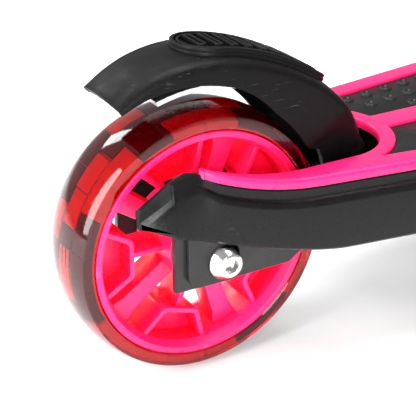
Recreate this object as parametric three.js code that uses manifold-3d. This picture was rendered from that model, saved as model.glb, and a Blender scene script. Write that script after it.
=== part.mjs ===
// Three-wheeled kick scooter for a small child: lean-to-steer front truck, one rear wheel with a
// foot brake, plastic deck over a steel chassis, and a T-bar that slides in its column.
// Millimetres. +X forward, +Y left, +Z up. The origin is under the middle of the scooter, on the ground.

import * as THREE from 'three';
import { mergeVertices } from 'three/addons/utils/BufferGeometryUtils.js';
import Module from 'manifold-3d';

const wasm = await Module();
wasm.setup();

// ---------- Driving dimensions ----------
// Everything along X is measured from the rear axle, and every height from the ground.

const gap = 0.3; // between faces that touch on the real scooter
const bite = 1; // how far joined solids run into each other, and cutters past a face
const far = 200; // past the edge of anything that is cut right through
const wheelbase = 430;

const rear = {
  radius: 50,
  tyreHalf: 13.3,
  shoulder: 2.6,
  rimRadius: 42.5,
  rimWall: 2.2,
  lipWidth: 2.4,
  grooveDepth: 1.8,
  hubHalf: 13.1,
  bossRadius: 14.5,
  spokes: 5,
  spokeWidth: 7,
  spokeHalf: 5,
  ribWall: 1.6,
  lights: 3,
  sides: 36,
};
const front = {
  radius: 60,
  tyreHalf: 12,
  shoulder: 2.6,
  rimRadius: 50,
  rimWall: 2.4,
  lipWidth: 2.4,
  grooveDepth: 1.8,
  hubHalf: 11.8,
  bossRadius: 14.5,
  spokes: 5,
  spokeWidth: 7,
  spokeHalf: 5,
  ribWall: 1.6,
  lights: 0,
  sides: 28,
};
const frontTrack = 236; // between the two front wheels' middle planes

const deckTop = rear.radius + 26;
const axleRadius = 4;
const bearing = { outer: 11, inner: axleRadius + 0.2, width: 7, inset: 1.0, ledge: 2 };
const light = { sink: 2.4, rise: 3.4, halfWidth: 6, halfLength: 9, firstDeg: 60 };
const pocket = { foot: 15, crest: 7, depth: 12, extraHeight: 3 }; // the trapezoid ridges in a hub
const spacer = { outer: axleRadius + 2, middleOuter: axleRadius + 2.2 };
const boltHead = { baseRadius: 6.65, faceRadius: 3.6, height: 4.7, hexRadius: 2.9, hexDepth: 2.6 };

const deck = {
  tail: -31.6,
  tailHalf: 23.2,
  chamferEnd: -9.5,
  nose: 358,
  noseHalf: 30,
  halfAtHundred: 44,
  taper: 0.149,
  widest: 64,
  widestAt: 250,
  wall: 3,
  skin: 3,
  bottom: rear.radius - 3,
  tailBottom: rear.radius + 19,
  tailBottomAt: -20,
  riseFrom: 35,
  tailRise: 10,
  tailRiseAt: -9,
};
// The slot in the deck that the rear wheel sits in.
const well = { halfWidth: 22, endAt: rear.radius + 6, wall: 3 };
const trim = { inset: 2.6, thickness: 3.5, border: 9, collar: 6, spineHalf: 5.5, tipAt: -8 };
const pad = { thickness: 2.4 };
const cover = { from: rear.radius + 38, thickness: 2.4 };
const screw = {
  radius: 1.7,
  headRadius: 3.4,
  headHeight: 1.1,
  headDepth: 1.5,
  length: 16,
  bossRadius: 4,
  rowY: 34,
  atX: [110, 318],
};

const plate = {
  inner: 21.2,
  thickness: 2.4,
  rearEdge: -18,
  bottom: rear.radius - 9,
  lowEnd: 28,
  top: rear.radius + 19.2,
  axleHole: axleRadius + 2.2,
};
const outerPlate = {
  thickness: 2,
  rearEdge: -14,
  frontEdge: 26,
  bottom: rear.radius - 8,
  rise: 14,
  top: rear.radius + 13.2,
  corner: 5,
};
const beam = { start: rear.radius + 34, end: 390, bottom: rear.radius + 2, wall: 2.4 };

const brake = {
  pivotX: rear.radius + 12,
  pivotZ: rear.radius + 7,
  pinRadius: 2.5,
  barrelRadius: 6.5,
  rearHalf: 14.6,
  frontHalf: 16.6,
  wall: 2,
  cheekRadius: rear.radius + 2,
  shoeInner: rear.radius + 6.6,
  shoeThickness: 1.6,
  shoeArc: 34,
};
const footPad = {
  from: -6,
  to: rear.radius + 2,
  half: 11.5,
  height: 2.6,
  slots: 7,
  slotWidth: 2.2,
  slotHalf: 7.5,
};
// The fender's crown, from its rear edge over the wheel and down into the slot: [angle about the axle in
// degrees, clearance from the tyre].
const crown = [
  [119.6, 16.7], [113.2, 18.5], [106.8, 19.3], [100.0, 19.4], [93.3, 19.4], [85.0, 19.3], [74.9, 19.0],
  [64.4, 19.4], [53.6, 20.8], [44.2, 22.5], [35.6, 23.8], [27.3, 24.2], [19.1, 23.5], [11.2, 22.0],
  [5.8, 19.9],
].map(([degrees, clearance]) => {
  const angle = THREE.MathUtils.degToRad(degrees);
  const reach = rear.radius + clearance;
  return [reach * Math.cos(angle), rear.radius + reach * Math.sin(angle)];
});
const cheek = { fromDeg: 28, toDeg: 118, lift: 11, bend: 1.3 }; // the lower edge of the fender's sides
const spring = { half: 6, wire: 0.8, coilRadius: 4.4, turns: 3, leg: 5, sides: 5, steps: 44 };

const head = {
  from: 362,
  bridgeBottom: 92,
  bridgeTop: 110,
  half: 26,
  stepLength: 22,
  stepDepth: 12,
  lug: 10,
  lugGap: 2,
  lugHalf: 14,
  lugBottom: 60,
};
const headBolt = { radius: 3, headRadius: 5, headHeight: 3, seat: 12, atX: [368, 382] };
const lean = { height: 72, pinRadius: 5, headRadius: 8.5, headHeight: 5 };
const truck = {
  half: 26,
  bossHalf: 20,
  bossDrop: 4,
  armHalf: 13,
  armBottom: 62,
  armTop: 80,
  lug: 7,
  lugRadius: 10,
  postThickness: 8,
};
const kingpin = { radius: 4, track: 176, bottom: 43, top: 83, headRadius: 7, headHeight: 3 };
const knuckle = {
  radius: 8.5,
  arm: 22,
  armHalf: 4,
  armHeight: 5.7,
  pinRadius: 2.1,
  pinProud: 1.6,
  shoulder: 7,
};
const tieRod = { half: 4.5, thickness: 4.4, eyeRadius: 3.4, eyeOuter: 6.5 };
const bumper = { radius: 6, at: 16, height: 6 };

const axleNut = { hexRadius: 6.5, hexHeight: 6, capRadius: 5.6, capTop: 3.6, height: 8, stubProud: 4 };

const column = { tiltDeg: 8, base: 122, socketRadius: 24, socketFoot: 28, socketFrom: -26, socketTo: 40 };
const lowerTube = { outer: 17, wall: 2.4, length: 330 };
const upperTube = { outer: 14.3, wall: 2, from: 190, to: 632 };
const collar = {
  outer: 22,
  height: 34,
  overlap: 6,
  slit: 3,
  earWidth: 11,
  earReach: 11,
  boltReach: 6,
  boltShare: 0.45,
};
const lever = {
  length: 46,
  thickness: 7,
  pinRadius: 3,
  camRadius: 8.5,
  headRadius: 5.5,
  headHeight: 4,
  pinProud: 11,
};
const bar = { half: 130, radius: 11, wall: 2 };
const tee = { radius: 16.5, half: 24, sleeve: 18, barAbove: 22, sleeveBelow: 36 };
const grip = { outer: 15.5, waist: 14.3, length: 92, cap: 4, flange: 19, flangeWidth: 4, endFlange: 18 };

// ---------- Solids ----------

// A closed manifold solid from any closed three.js geometry.
function solid(geometry) {
  const plain = geometry.clone();
  for (const name of Object.keys(plain.attributes)) {
    if (name !== 'position') {
      plain.deleteAttribute(name);
    }
  }
  const merged = mergeVertices(plain, 1e-4);
  const vertProperties = new Float32Array(merged.attributes.position.array);
  const triVerts = new Uint32Array(merged.index.array);
  const build = () => new wasm.Manifold(new wasm.Mesh({ numProp: 3, vertProperties, triVerts }));
  let body = build();
  if (body.volume() < 0) {
    for (let i = 0; i < triVerts.length; i += 3) {
      [triVerts[i], triVerts[i + 1]] = [triVerts[i + 1], triVerts[i]];
    }
    body = build();
  }
  return body;
}

function join(...bodies) {
  return bodies.reduce((sum, body) => sum.add(body));
}

function cut(body, ...tools) {
  return tools.reduce((rest, tool) => rest.subtract(tool), body);
}

function box(x0, x1, y0, y1, z0, z1) {
  const geometry = new THREE.BoxGeometry(x1 - x0, y1 - y0, z1 - z0);
  geometry.translate((x0 + x1) / 2, (y0 + y1) / 2, (z0 + z1) / 2);
  return solid(geometry);
}

// A cylinder along one axis, from one coordinate on that axis to another.
function rod(axis, radius, from, to, centre = [0, 0], sides = 16, endRadius = radius) {
  const geometry = new THREE.CylinderGeometry(endRadius, radius, to - from, sides);
  geometry.translate(0, (from + to) / 2, 0);
  if (axis === 'x') {
    geometry.rotateZ(-Math.PI / 2);
    geometry.translate(0, centre[0], centre[1]);
  } else if (axis === 'y') {
    geometry.translate(centre[0], 0, centre[1]);
  } else {
    geometry.rotateX(Math.PI / 2);
    geometry.translate(centre[0], centre[1], 0);
  }
  return solid(geometry);
}

function ring(axis, outer, inner, from, to, centre = [0, 0], sides = 16) {
  return rod(axis, outer, from, to, centre, sides).subtract(
    rod(axis, inner, from - 1, to + 1, centre, sides),
  );
}

// A flat outline in the XY plane, raised from z0 to z1.
function planPrism(points, z0, z1) {
  const shape = new THREE.Shape(points.map(([x, y]) => new THREE.Vector2(x, y)));
  const geometry = new THREE.ExtrudeGeometry(shape, { depth: z1 - z0, bevelEnabled: false });
  geometry.translate(0, 0, z0);
  return solid(geometry);
}

// A flat outline in the XZ plane, from y0 to y1.
function sidePrism(points, y0, y1) {
  const shape = new THREE.Shape(points.map(([x, z]) => new THREE.Vector2(x, z)));
  const geometry = new THREE.ExtrudeGeometry(shape, { depth: y1 - y0, bevelEnabled: false });
  geometry.rotateX(Math.PI / 2);
  geometry.translate(0, y1, 0);
  return solid(geometry);
}

// A profile of [radius, y] points turned about the Y axis.
function turned(points, sides) {
  const profile = [...points, points[0]].map(([r, y]) => new THREE.Vector2(r, y));
  return solid(new THREE.LatheGeometry(profile, sides));
}

function mirrored(body) {
  return body.mirror([0, 1, 0]);
}

function bothSides(body) {
  return body.add(mirrored(body));
}

function placed(body, x, y, z) {
  return body.translate([x, y, z]);
}

// ---------- Materials and meshes ----------

const looks = {
  tyre: [0xb01020, 0.2, 0],
  pink: [0xff2e7e, 0.35, 0],
  black: [0x1d1d1f, 0.6, 0],
  rubber: [0x17181a, 0.8, 0],
  steelBlack: [0x151516, 0.45, 0.5],
  chrome: [0xd8d8da, 0.15, 1],
  steel: [0xa8aab0, 0.35, 0.9],
  aluminium: [0xc9cbd0, 0.4, 0.9],
  light: [0xe8d9b0, 0.4, 0],
};

function mesh(name, look, body) {
  const { vertProperties, triVerts, numProp } = body.getMesh();
  const count = vertProperties.length / numProp;
  const positions = new Float32Array(count * 3);
  for (let i = 0; i < count; i += 1) {
    positions.set(vertProperties.subarray(i * numProp, i * numProp + 3), i * 3);
  }
  const geometry = new THREE.BufferGeometry();
  geometry.setAttribute('position', new THREE.BufferAttribute(positions, 3));
  geometry.setIndex(new THREE.BufferAttribute(new Uint32Array(triVerts), 1));
  geometry.computeVertexNormals();
  const [color, roughness, metalness] = looks[look];
  const part = new THREE.Mesh(geometry, new THREE.MeshStandardMaterial({ color, roughness, metalness }));
  part.name = name;
  return part;
}

function group(x, y, z, ...children) {
  const parent = new THREE.Group();
  parent.position.set(x, y, z);
  parent.add(...children);
  return parent;
}

// ---------- Wheels (about their own axle, along Y) ----------

function tyreSolid(w) {
  const bore = w.rimRadius + gap;
  const grooveBore = bore - w.grooveDepth;
  const lip = w.hubHalf - w.lipWidth - gap;
  const shoulderRadius = w.radius - w.shoulder;
  const half = [
    [grooveBore, 0],
    [grooveBore, lip],
    [bore, lip],
    [bore, w.tyreHalf],
    [shoulderRadius, w.tyreHalf],
    [w.radius - w.shoulder * 0.4, w.tyreHalf * 0.8],
    [w.radius, w.tyreHalf * 0.3],
  ];
  const other = half.slice(1).reverse().map(([r, y]) => [r, -y]);
  return turned([...half, ...other], w.sides);
}

// One light module lying on the hub's rim, or with a clearance the pocket for it.
function lightPocket(w, index, clearance) {
  const mid = w.rimRadius - w.grooveDepth;
  const halfY = light.halfWidth + clearance;
  const halfZ = light.halfLength + clearance;
  const body = box(mid - light.sink - clearance, mid + light.rise + clearance, -halfY, halfY, -halfZ, halfZ);
  return body.rotate([0, light.firstDeg + (360 / w.lights) * index, 0]);
}

const bearingSides = 20;

function hubSolid(w) {
  const inside = w.rimRadius - w.grooveDepth - w.rimWall;
  const floor = w.rimRadius - w.grooveDepth;
  const lip = w.hubHalf - w.lipWidth;
  const half = [
    [floor, 0],
    [floor, lip],
    [w.rimRadius, lip],
    [w.rimRadius, w.hubHalf],
    [inside, w.hubHalf],
  ];
  const other = half.slice(1).reverse().map(([r, y]) => [r, -y]);
  const rim = turned([...half, ...other], w.sides);
  const boss = rod('y', w.bossRadius, -w.hubHalf, w.hubHalf, [0, 0], bearingSides);
  const parts = [rim, boss];
  const reach = inside + w.rimWall / 2;
  for (let i = 0; i < w.spokes; i += 1) {
    const turn = (360 / w.spokes) * i;
    const halfZ = w.spokeWidth / 2;
    const spoke = box(w.bossRadius - 2 * bite, reach, -w.spokeHalf, w.spokeHalf, -halfZ, halfZ);
    parts.push(spoke.rotate([0, turn, 0]));
    parts.push(ridge(w, reach).rotate([0, turn + 180 / w.spokes, 0]));
  }
  const seat = w.hubHalf - bearing.inset - bearing.width - gap;
  return cut(
    join(...parts),
    rod('y', bearing.outer + gap / 3, seat, w.hubHalf + bite, [0, 0], bearingSides),
    rod('y', bearing.outer + gap / 3, -w.hubHalf - bite, -seat, [0, 0], bearingSides),
    rod('y', bearing.outer - bearing.ledge, -w.hubHalf, w.hubHalf, [0, 0], bearingSides),
  );
}

// A thin-walled trapezoid standing inside the rim, halfway between two spokes.
function ridge(w, reach) {
  const { foot, crest } = pocket;
  const t = w.ribWall;
  const rise = Math.sqrt(reach ** 2 - foot ** 2);
  const top = reach - pocket.depth;
  const outline = [[rise, -foot], [top, -crest], [top, crest], [rise, foot]];
  const inner = [
    [rise + bite, -foot + t], [top + t, -crest + t / 2], [top + t, crest - t / 2], [rise + bite, foot - t],
  ];
  const height = w.spokeHalf + pocket.extraHeight;
  return sidePrism(outline, -height, height).subtract(sidePrism(inner, -height - bite, height + bite));
}

function bearingSolid() {
  return ring('y', bearing.outer, bearing.inner, 0, bearing.width, [0, 0], bearingSides);
}

// The tyre, hub, light modules and bearings of one wheel. The first bearing is the one on +Y.
function wheelMeshes(w, names) {
  let tyre = tyreSolid(w);
  let hub = hubSolid(w);
  const lights = [];
  for (let i = 0; i < w.lights; i += 1) {
    tyre = tyre.subtract(lightPocket(w, i, gap));
    hub = hub.subtract(lightPocket(w, i, gap));
    lights.push(mesh(`${names.lights}_${i + 1}`, 'light', lightPocket(w, i, 0)));
  }
  const seat = w.hubHalf - bearing.inset - bearing.width;
  const positive = mesh(names.bearings[0], 'steel', bearingSolid());
  positive.position.y = seat;
  const negative = mesh(names.bearings[1], 'steel', bearingSolid());
  negative.position.y = -seat - bearing.width;
  return [mesh(names.tyre, 'tyre', tyre), mesh(names.hub, 'pink', hub), positive, negative, ...lights];
}

function spacerLength(w) {
  return 2 * (w.hubHalf - bearing.inset - bearing.width - gap);
}

const plateOuter = plate.inner + plate.thickness + gap + outerPlate.thickness;
const boreRadius = axleRadius + gap;

// A cone-shaped head on the -Y side, with a socket for a six-sided key.
function socketHead() {
  const { faceRadius, baseRadius, height, hexRadius, hexDepth } = boltHead;
  const cone = rod('y', faceRadius, -height, 0, [0, 0], 32, baseRadius);
  return cone.subtract(rod('y', hexRadius, -height - bite, hexDepth - height, [0, 0], 6));
}

const nutOverlap = 3;

function rearAxleBolt() {
  const seat = -plateOuter - gap;
  const shank = rod('y', axleRadius - gap, seat - bite, plateOuter - nutOverlap);
  return join(placed(socketHead(), 0, seat, 0), shank);
}

function rearAxleNut() {
  const start = plateOuter + gap;
  const sleeve = rod('y', plate.axleHole - gap, plate.inner + plate.thickness + gap * 2, start + bite);
  const bore = rod('y', axleRadius, 0, start - bite);
  return cut(join(sleeve, placed(mirrored(socketHead()), 0, start, 0)), bore);
}

function rearWheelGroup() {
  const inner = spacerLength(rear) / 2;
  const sleeveStart = rear.hubHalf - bearing.inset + gap;
  const sleeve = ring('y', spacer.outer, boreRadius, sleeveStart, plate.inner - gap);
  return group(0, 0, rear.radius,
    ...wheelMeshes(rear, {
      tyre: 'rear_tyre',
      hub: 'rear_hub',
      bearings: ['rear_bearing_left', 'rear_bearing_right'],
      lights: 'rear_light_module',
    }),
    mesh('rear_bearing_spacer', 'steel', ring('y', spacer.middleOuter, boreRadius, -inner, inner)),
    mesh('rear_spacer_left', 'steel', sleeve),
    mesh('rear_spacer_right', 'steel', mirrored(sleeve)),
    mesh('rear_axle_bolt', 'chrome', rearAxleBolt()),
    mesh('rear_axle_nut', 'chrome', rearAxleNut()));
}

// ---------- Deck ----------

// Half the width of the shell at x, ahead of the tail chamfer.
function shellHalf(x) {
  const straight = deck.halfAtHundred + deck.taper * (x - 100);
  const blendFrom = 200;
  if (x <= blendFrom) {
    return straight;
  }
  const start = deck.halfAtHundred + deck.taper * (blendFrom - 100);
  if (x <= deck.widestAt) {
    const t = (x - blendFrom) / (deck.widestAt - blendFrom);
    return start + (deck.widest - start) * (2 * t - t * t);
  }
  const t = (x - deck.widestAt) / (deck.nose - deck.widestAt);
  return deck.noseHalf + (deck.widest - deck.noseHalf) * Math.sqrt(Math.max(0, 1 - t ** 2.6));
}

// Height of the deck's top surface: level, then sweeping up along the two arms of the tail.
function topAt(x) {
  const t = THREE.MathUtils.clamp((deck.riseFrom - x) / (deck.riseFrom - deck.tailRiseAt), 0, 1);
  return deckTop + deck.tailRise * t * t;
}

const stations = [25, 60, 100, 150, 200, 225, 250, 280, 305, 325, 340, 350, 356];

// The outline of the deck, brought in by an inset, from its tail to its nose.
function deckOutline(inset, tail, chamferEnd) {
  const side = [
    [tail, deck.tailHalf - inset],
    [chamferEnd, shellHalf(chamferEnd) - inset],
    ...stations
      .filter((x) => x > chamferEnd && x < deck.nose - inset - 1)
      .map((x) => [x, shellHalf(x) - inset]),
    [deck.nose - inset, deck.noseHalf - inset],
  ];
  return [...side, ...side.slice().reverse().map(([x, y]) => [x, -y])];
}

// The slot for the rear wheel: straight sides and a round end.
function wellPrism(radius, z0, z1) {
  const slot = box(deck.tail - 50, well.endAt, -radius, radius, z0, z1);
  return slot.add(rod('z', radius, z0, z1, [well.endAt, 0], 32));
}

const topStations = [35, 28, 20, 10, 0, deck.tailRiseAt];

// A side profile that follows the top surface at some depth below it.
function underTop(depth, tail, low) {
  return [
    [tail, low],
    [deck.nose + 20, low],
    [deck.nose + 20, deckTop - depth],
    ...topStations.filter((x) => x > tail).map((x) => [x, topAt(x) - depth]),
    [tail, topAt(tail) - depth],
  ];
}

function shellSide() {
  const top = topAt(deck.tailRiseAt);
  return [
    [deck.tail, rear.radius + 25],
    [deck.tailBottomAt, deck.tailBottom],
    [deck.riseFrom, deck.bottom],
    [deck.nose + 10, deck.bottom],
    [deck.nose + 10, deckTop - trim.thickness - gap],
    ...topStations.slice(0, -1).map((x) => [x, topAt(x) - trim.thickness - gap]),
    [trim.tipAt - gap, topAt(trim.tipAt) - trim.thickness - gap],
    [trim.tipAt - gap, topAt(trim.tipAt) - 1],
    [deck.tailRiseAt - 3, top + 0.6],
    [-17, top],
  ];
}

const screwSpots = screw.atX.flatMap((x) => [[x, screw.rowY], [x, -screw.rowY]]);

// A slab over a stretch of X, as wide as the whole deck and taller than it.
function across(x0, x1) {
  return box(x0, x1, -far, far, 0, far);
}

function deckShell() {
  const outer = planPrism(deckOutline(0, deck.tail, deck.chamferEnd), 0, far);
  const body = outer.intersect(sidePrism(shellSide(), -far, far));
  const tail = deck.tail + 10;
  const inside = planPrism(deckOutline(deck.wall, tail, deck.chamferEnd), 0, far)
    .intersect(sidePrism(underTop(trim.thickness + deck.skin, tail, 0), -far, far));
  const endWall = rod('z', well.halfWidth + well.wall, 0, far, [well.endAt, 0], 32)
    .subtract(across(-far, well.endAt));
  const channel = bothSides(
    box(-far, beam.start + 4, plate.inner - gap, plateOuter + bite, 0, plate.top + gap),
  );
  const railHalf = plate.inner + plate.thickness + gap;
  const railWay = box(beam.start - bite, far * 2, -railHalf, railHalf, 0, plate.top + gap);
  const pinBore = rod('y', brake.pinRadius + gap, -far, far, [brake.pivotX, brake.pivotZ]);
  const room = [inside.subtract(endWall), wellPrism(well.halfWidth, 0, far), channel, railWay, pinBore];
  const bossTop = deckTop - trim.thickness - deck.skin / 2;
  const holeTop = deck.bottom + screw.headDepth + screw.length + bite;
  const bossBottom = deck.bottom + cover.thickness + 2 * gap;
  const bosses = screwSpots.map((spot) => rod('z', screw.bossRadius, bossBottom, bossTop, spot));
  const holes = screwSpots.map((spot) => rod('z', screw.radius + gap, 0, holeTop, spot, 12));
  return cut(join(cut(body, ...room), ...bosses), ...holes);
}

// The two windows in the trim that the grip pads sit in. A positive inset makes them smaller.
function padWindow(inset) {
  const edge = trim.inset + trim.border + inset;
  const area = planPrism(deckOutline(edge, deck.tail, deck.chamferEnd), 0, far);
  const half = box(well.endAt, deck.nose, trim.spineHalf + inset, far, 0, far);
  const collarRadius = well.halfWidth + trim.collar + inset;
  return area.intersect(half).subtract(rod('z', collarRadius, -bite, far + bite, [well.endAt, 0], 32));
}

function deckFrame() {
  const plan = planPrism(deckOutline(trim.inset, trim.tipAt - 6, trim.tipAt + 3), 0, far);
  const upper = sidePrism(underTop(0, trim.tipAt, bite), -far, far);
  const lower = sidePrism(underTop(trim.thickness, trim.tipAt - 30, 0), -far - bite, far + bite);
  const band = plan.intersect(upper.subtract(lower));
  return cut(band, wellPrism(well.halfWidth, 0, far), bothSides(padWindow(0)));
}

function gripPad() {
  const base = deckTop - trim.thickness;
  return padWindow(gap).intersect(box(0, 2 * far, 0, far, base, base + pad.thickness));
}

function bellyCover() {
  const start = well.endAt;
  const top = deck.bottom + cover.thickness;
  const plan = planPrism(deckOutline(deck.wall + gap, start, start + bite), deck.bottom, top);
  const holes = screwSpots.flatMap((spot) => [
    rod('z', screw.radius + gap, 0, far, spot, 12),
    rod('z', screw.headRadius + gap, 0, deck.bottom + screw.headDepth, spot),
  ]);
  return cut(plan, across(0, cover.from), ...holes);
}

function bellyScrew() {
  const top = deck.bottom + screw.headDepth - gap;
  return join(
    rod('z', screw.headRadius, top - screw.headHeight, top),
    rod('z', screw.radius, top - bite, top + screw.length, [0, 0], 12),
  );
}

// ---------- Chassis ----------

// The outline of the long inner dropout plate, which runs on into the rail.
function dropoutSide() {
  const top = plate.top;
  const plateEnd = beam.start + 36;
  return [
    [plate.rearEdge, top],
    [plate.rearEdge, plate.bottom],
    [plate.lowEnd, plate.bottom],
    [plate.lowEnd + 16, beam.bottom],
    [plateEnd, beam.bottom],
    [plateEnd, top],
  ];
}

function chassis() {
  const side = sidePrism(dropoutSide(), plate.inner, plate.inner + plate.thickness);
  const outer = plate.inner + plate.thickness;
  const hollow = box(beam.start - bite, beam.end + bite, -outer + beam.wall, outer - beam.wall,
    beam.bottom - bite, plate.top - beam.wall);
  const rail = box(beam.start, beam.end, -outer, outer, beam.bottom, plate.top).subtract(hollow);
  const pinBore = rod('y', brake.pinRadius + gap, -far, far, [brake.pivotX, brake.pivotZ]);
  const axleBore = rod('y', plate.axleHole, -far, far, [0, rear.radius], 24);
  const boltBores = headBolt.atX.map((x) => rod('z', headBolt.radius + gap, 0, far, [x, 0]));
  return cut(join(bothSides(side), rail), pinBore, axleBore, ...boltBores);
}

function dropoutPlate() {
  const c = outerPlate.corner;
  const { rearEdge, frontEdge, bottom, rise, top } = outerPlate;
  const corner = [0, 1, 2, 3].map((i) => {
    const angle = Math.PI + (Math.PI / 6) * i;
    return [rearEdge + c + c * Math.cos(angle), bottom + c + c * Math.sin(angle)];
  });
  const frontCorner = [[axleRadius, bottom], [frontEdge, bottom + rise], [frontEdge, top]];
  const outline = [[rearEdge, top], ...corner, ...frontCorner];
  const start = plate.inner + plate.thickness + gap;
  return sidePrism(outline, start, start + outerPlate.thickness)
    .subtract(rod('y', plate.axleHole, -far, far, [0, rear.radius], 24));
}

// ---------- Foot brake ----------

// Half the fender's width along its length: narrow behind, full width from above the axle.
function fenderPlan(inset) {
  const rearHalf = brake.rearHalf - inset;
  const frontHalf = brake.frontHalf - inset;
  const side = [
    [-far, rearHalf], [crown[0][0], rearHalf], [10, frontHalf], [brake.pivotX - 4, frontHalf],
    [brake.pivotX + 4, frontHalf - 4], [brake.pivotX + 12, frontHalf - 11],
  ];
  return planPrism([...side, ...side.slice().reverse().map(([x, y]) => [x, -y])], 0, far);
}

// The lower edge of the fender's sides: an arc about the wheel that opens towards the rear.
function cheekEdge(radius) {
  const steps = 9;
  return Array.from({ length: steps + 1 }, (_, i) => {
    const angle = THREE.MathUtils.degToRad(THREE.MathUtils.lerp(cheek.fromDeg, cheek.toDeg, i / steps));
    const lift = cheek.lift * (i / steps) ** cheek.bend;
    return [(radius + lift) * Math.cos(angle), rear.radius + (radius + lift) * Math.sin(angle)];
  });
}

// The crown's line moved inwards, or with a negative depth outwards.
function insetCrown(depth) {
  const curve = crown.map(([x, z]) => new THREE.Vector2(x, z));
  return curve.map((p, i) => {
    const a = curve[Math.max(0, i - 1)];
    const b = curve[Math.min(curve.length - 1, i + 1)];
    const along = b.clone().sub(a).normalize();
    return [p.x + along.y * depth, p.y - along.x * depth];
  });
}

function brakeFender() {
  const barrelAt = [brake.pivotX, brake.pivotZ];
  const foot = [[brake.pivotX + 6, brake.pivotZ - 2], [brake.pivotX - 8, brake.pivotZ + 2]];
  const outside = sidePrism([...crown, ...foot, ...cheekEdge(brake.cheekRadius)], -far, far);
  const [tailX, tailZ] = crown[0];
  const inHub = rear.radius - 10;
  const rearGap = [[-far, tailZ - 12], [-far, tailZ - 1]];
  const under = [...rearGap, ...insetCrown(brake.wall), [brake.pivotX + 4, inHub], [0, inHub]];
  const hollow = sidePrism(under, -far, far).intersect(fenderPlan(brake.wall));
  const shell = outside.intersect(fenderPlan(0)).subtract(hollow);
  const barrel = rod('y', brake.barrelRadius, -brake.frontHalf, brake.frontHalf, barrelAt, 20);
  const web = box(brake.pivotX - 1.5, brake.pivotX + 5, -brake.frontHalf, brake.frontHalf,
    brake.pivotZ, brake.pivotZ + 22);
  const wheelRoom = rod('y', rear.radius + 2, -far, far, [0, rear.radius], 48);
  const ribFoot = shoeArc(brake.shoeInner + brake.shoeThickness + gap, brake.shoeArc - 2);
  const ribTop = insetCrown(brake.wall - 0.5).filter(([x]) => Math.abs(x) < -tailX / 2);
  const ribs = sidePrism([...ribFoot, ...ribTop], -8, 8);
  const pinBore = rod('y', brake.pinRadius + gap, -far, far, barrelAt);
  const springHalf = spring.half + gap;
  const springNotch = box(brake.pivotX - 20, brake.pivotX + 20, -springHalf, springHalf, 0, brake.pivotZ + 13);
  return cut(join(shell, barrel, web.subtract(wheelRoom), ribs), springNotch, pinBore);
}

// Points on an arc about the wheel, centred over the axle.
function shoeArc(radius, spanDeg) {
  const steps = 8;
  return Array.from({ length: steps + 1 }, (_, i) => {
    const angle = THREE.MathUtils.degToRad(90 - spanDeg / 2 + (spanDeg * i) / steps);
    return [radius * Math.cos(angle), rear.radius + radius * Math.sin(angle)];
  });
}

const wearHalf = 10;

function wearPlate() {
  const top = shoeArc(brake.shoeInner + brake.shoeThickness, brake.shoeArc);
  const bottom = shoeArc(brake.shoeInner, brake.shoeArc).reverse();
  return sidePrism([...top, ...bottom], -wearHalf, wearHalf);
}

// The raised foot pad that follows the crown, with slots across it.
function brakeFootPad() {
  const lower = insetCrown(-gap).filter(([x]) => x > footPad.from && x < footPad.to);
  const upper = insetCrown(-gap - footPad.height).filter(([x]) => x > footPad.from && x < footPad.to);
  const inner = upper.slice(1, -1);
  let body = sidePrism([...lower, ...inner.reverse()], -footPad.half, footPad.half);
  const first = footPad.from + 14;
  const step = (footPad.to - footPad.from - 26) / (footPad.slots - 1);
  for (let i = 0; i < footPad.slots; i += 1) {
    const x = first + step * i;
    const slope = Math.max(0, (x - 6) * 0.0125);
    const halfX = footPad.slotWidth / 2;
    const slot = box(-halfX, halfX, -footPad.slotHalf, footPad.slotHalf, 0, 8)
      .rotate([0, THREE.MathUtils.radToDeg(slope), 0]);
    body = body.subtract(slot.translate([x, 0, crownAt(x) + gap + 1.2]));
  }
  return body;
}

function crownAt(x) {
  const i = crown.findIndex(([px], k) => k > 0 && px >= x);
  const [x0, z0] = crown[i - 1];
  const [x1, z1] = crown[i];
  return z0 + ((z1 - z0) * (x - x0)) / (x1 - x0);
}

// The return spring's centreline: a coil round the hinge pin with two legs.
class SpringPath extends THREE.Curve {
  getPoint(t, target = new THREE.Vector3()) {
    const legShare = 0.12;
    const sweep = Math.PI * 2 * spring.turns;
    const span = (spring.half - spring.wire - gap) * 2;
    const turn = THREE.MathUtils.clamp((t - legShare) / (1 - 2 * legShare), 0, 1);
    const angle = Math.PI / 2 + sweep * turn;
    const r = spring.coilRadius;
    target.set(r * Math.cos(angle), -span / 2 + span * turn, r * Math.sin(angle));
    const leg = t < legShare ? legShare - t : Math.max(0, t - 1 + legShare);
    target.x -= (leg / legShare) * spring.leg;
    return target;
  }
}

function brakeSpring() {
  const points = Array.from({ length: spring.sides }, (_, i) => {
    const angle = (Math.PI * 2 * i) / spring.sides;
    return new THREE.Vector2(spring.wire * Math.cos(angle), spring.wire * Math.sin(angle));
  });
  const section = new THREE.Shape(points);
  return solid(new THREE.ExtrudeGeometry(section, { steps: spring.steps, extrudePath: new SpringPath() }));
}

// ---------- Front truck, steering by leaning ----------

const lugFar = truck.half + head.lugGap;

// Turns a solid made along +Z onto the column's line, with its own z = 0 at the column's base.
function onColumn(body) {
  return body.rotate([0, -column.tiltDeg, 0]).translate([wheelbase, 0, column.base]);
}

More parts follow.
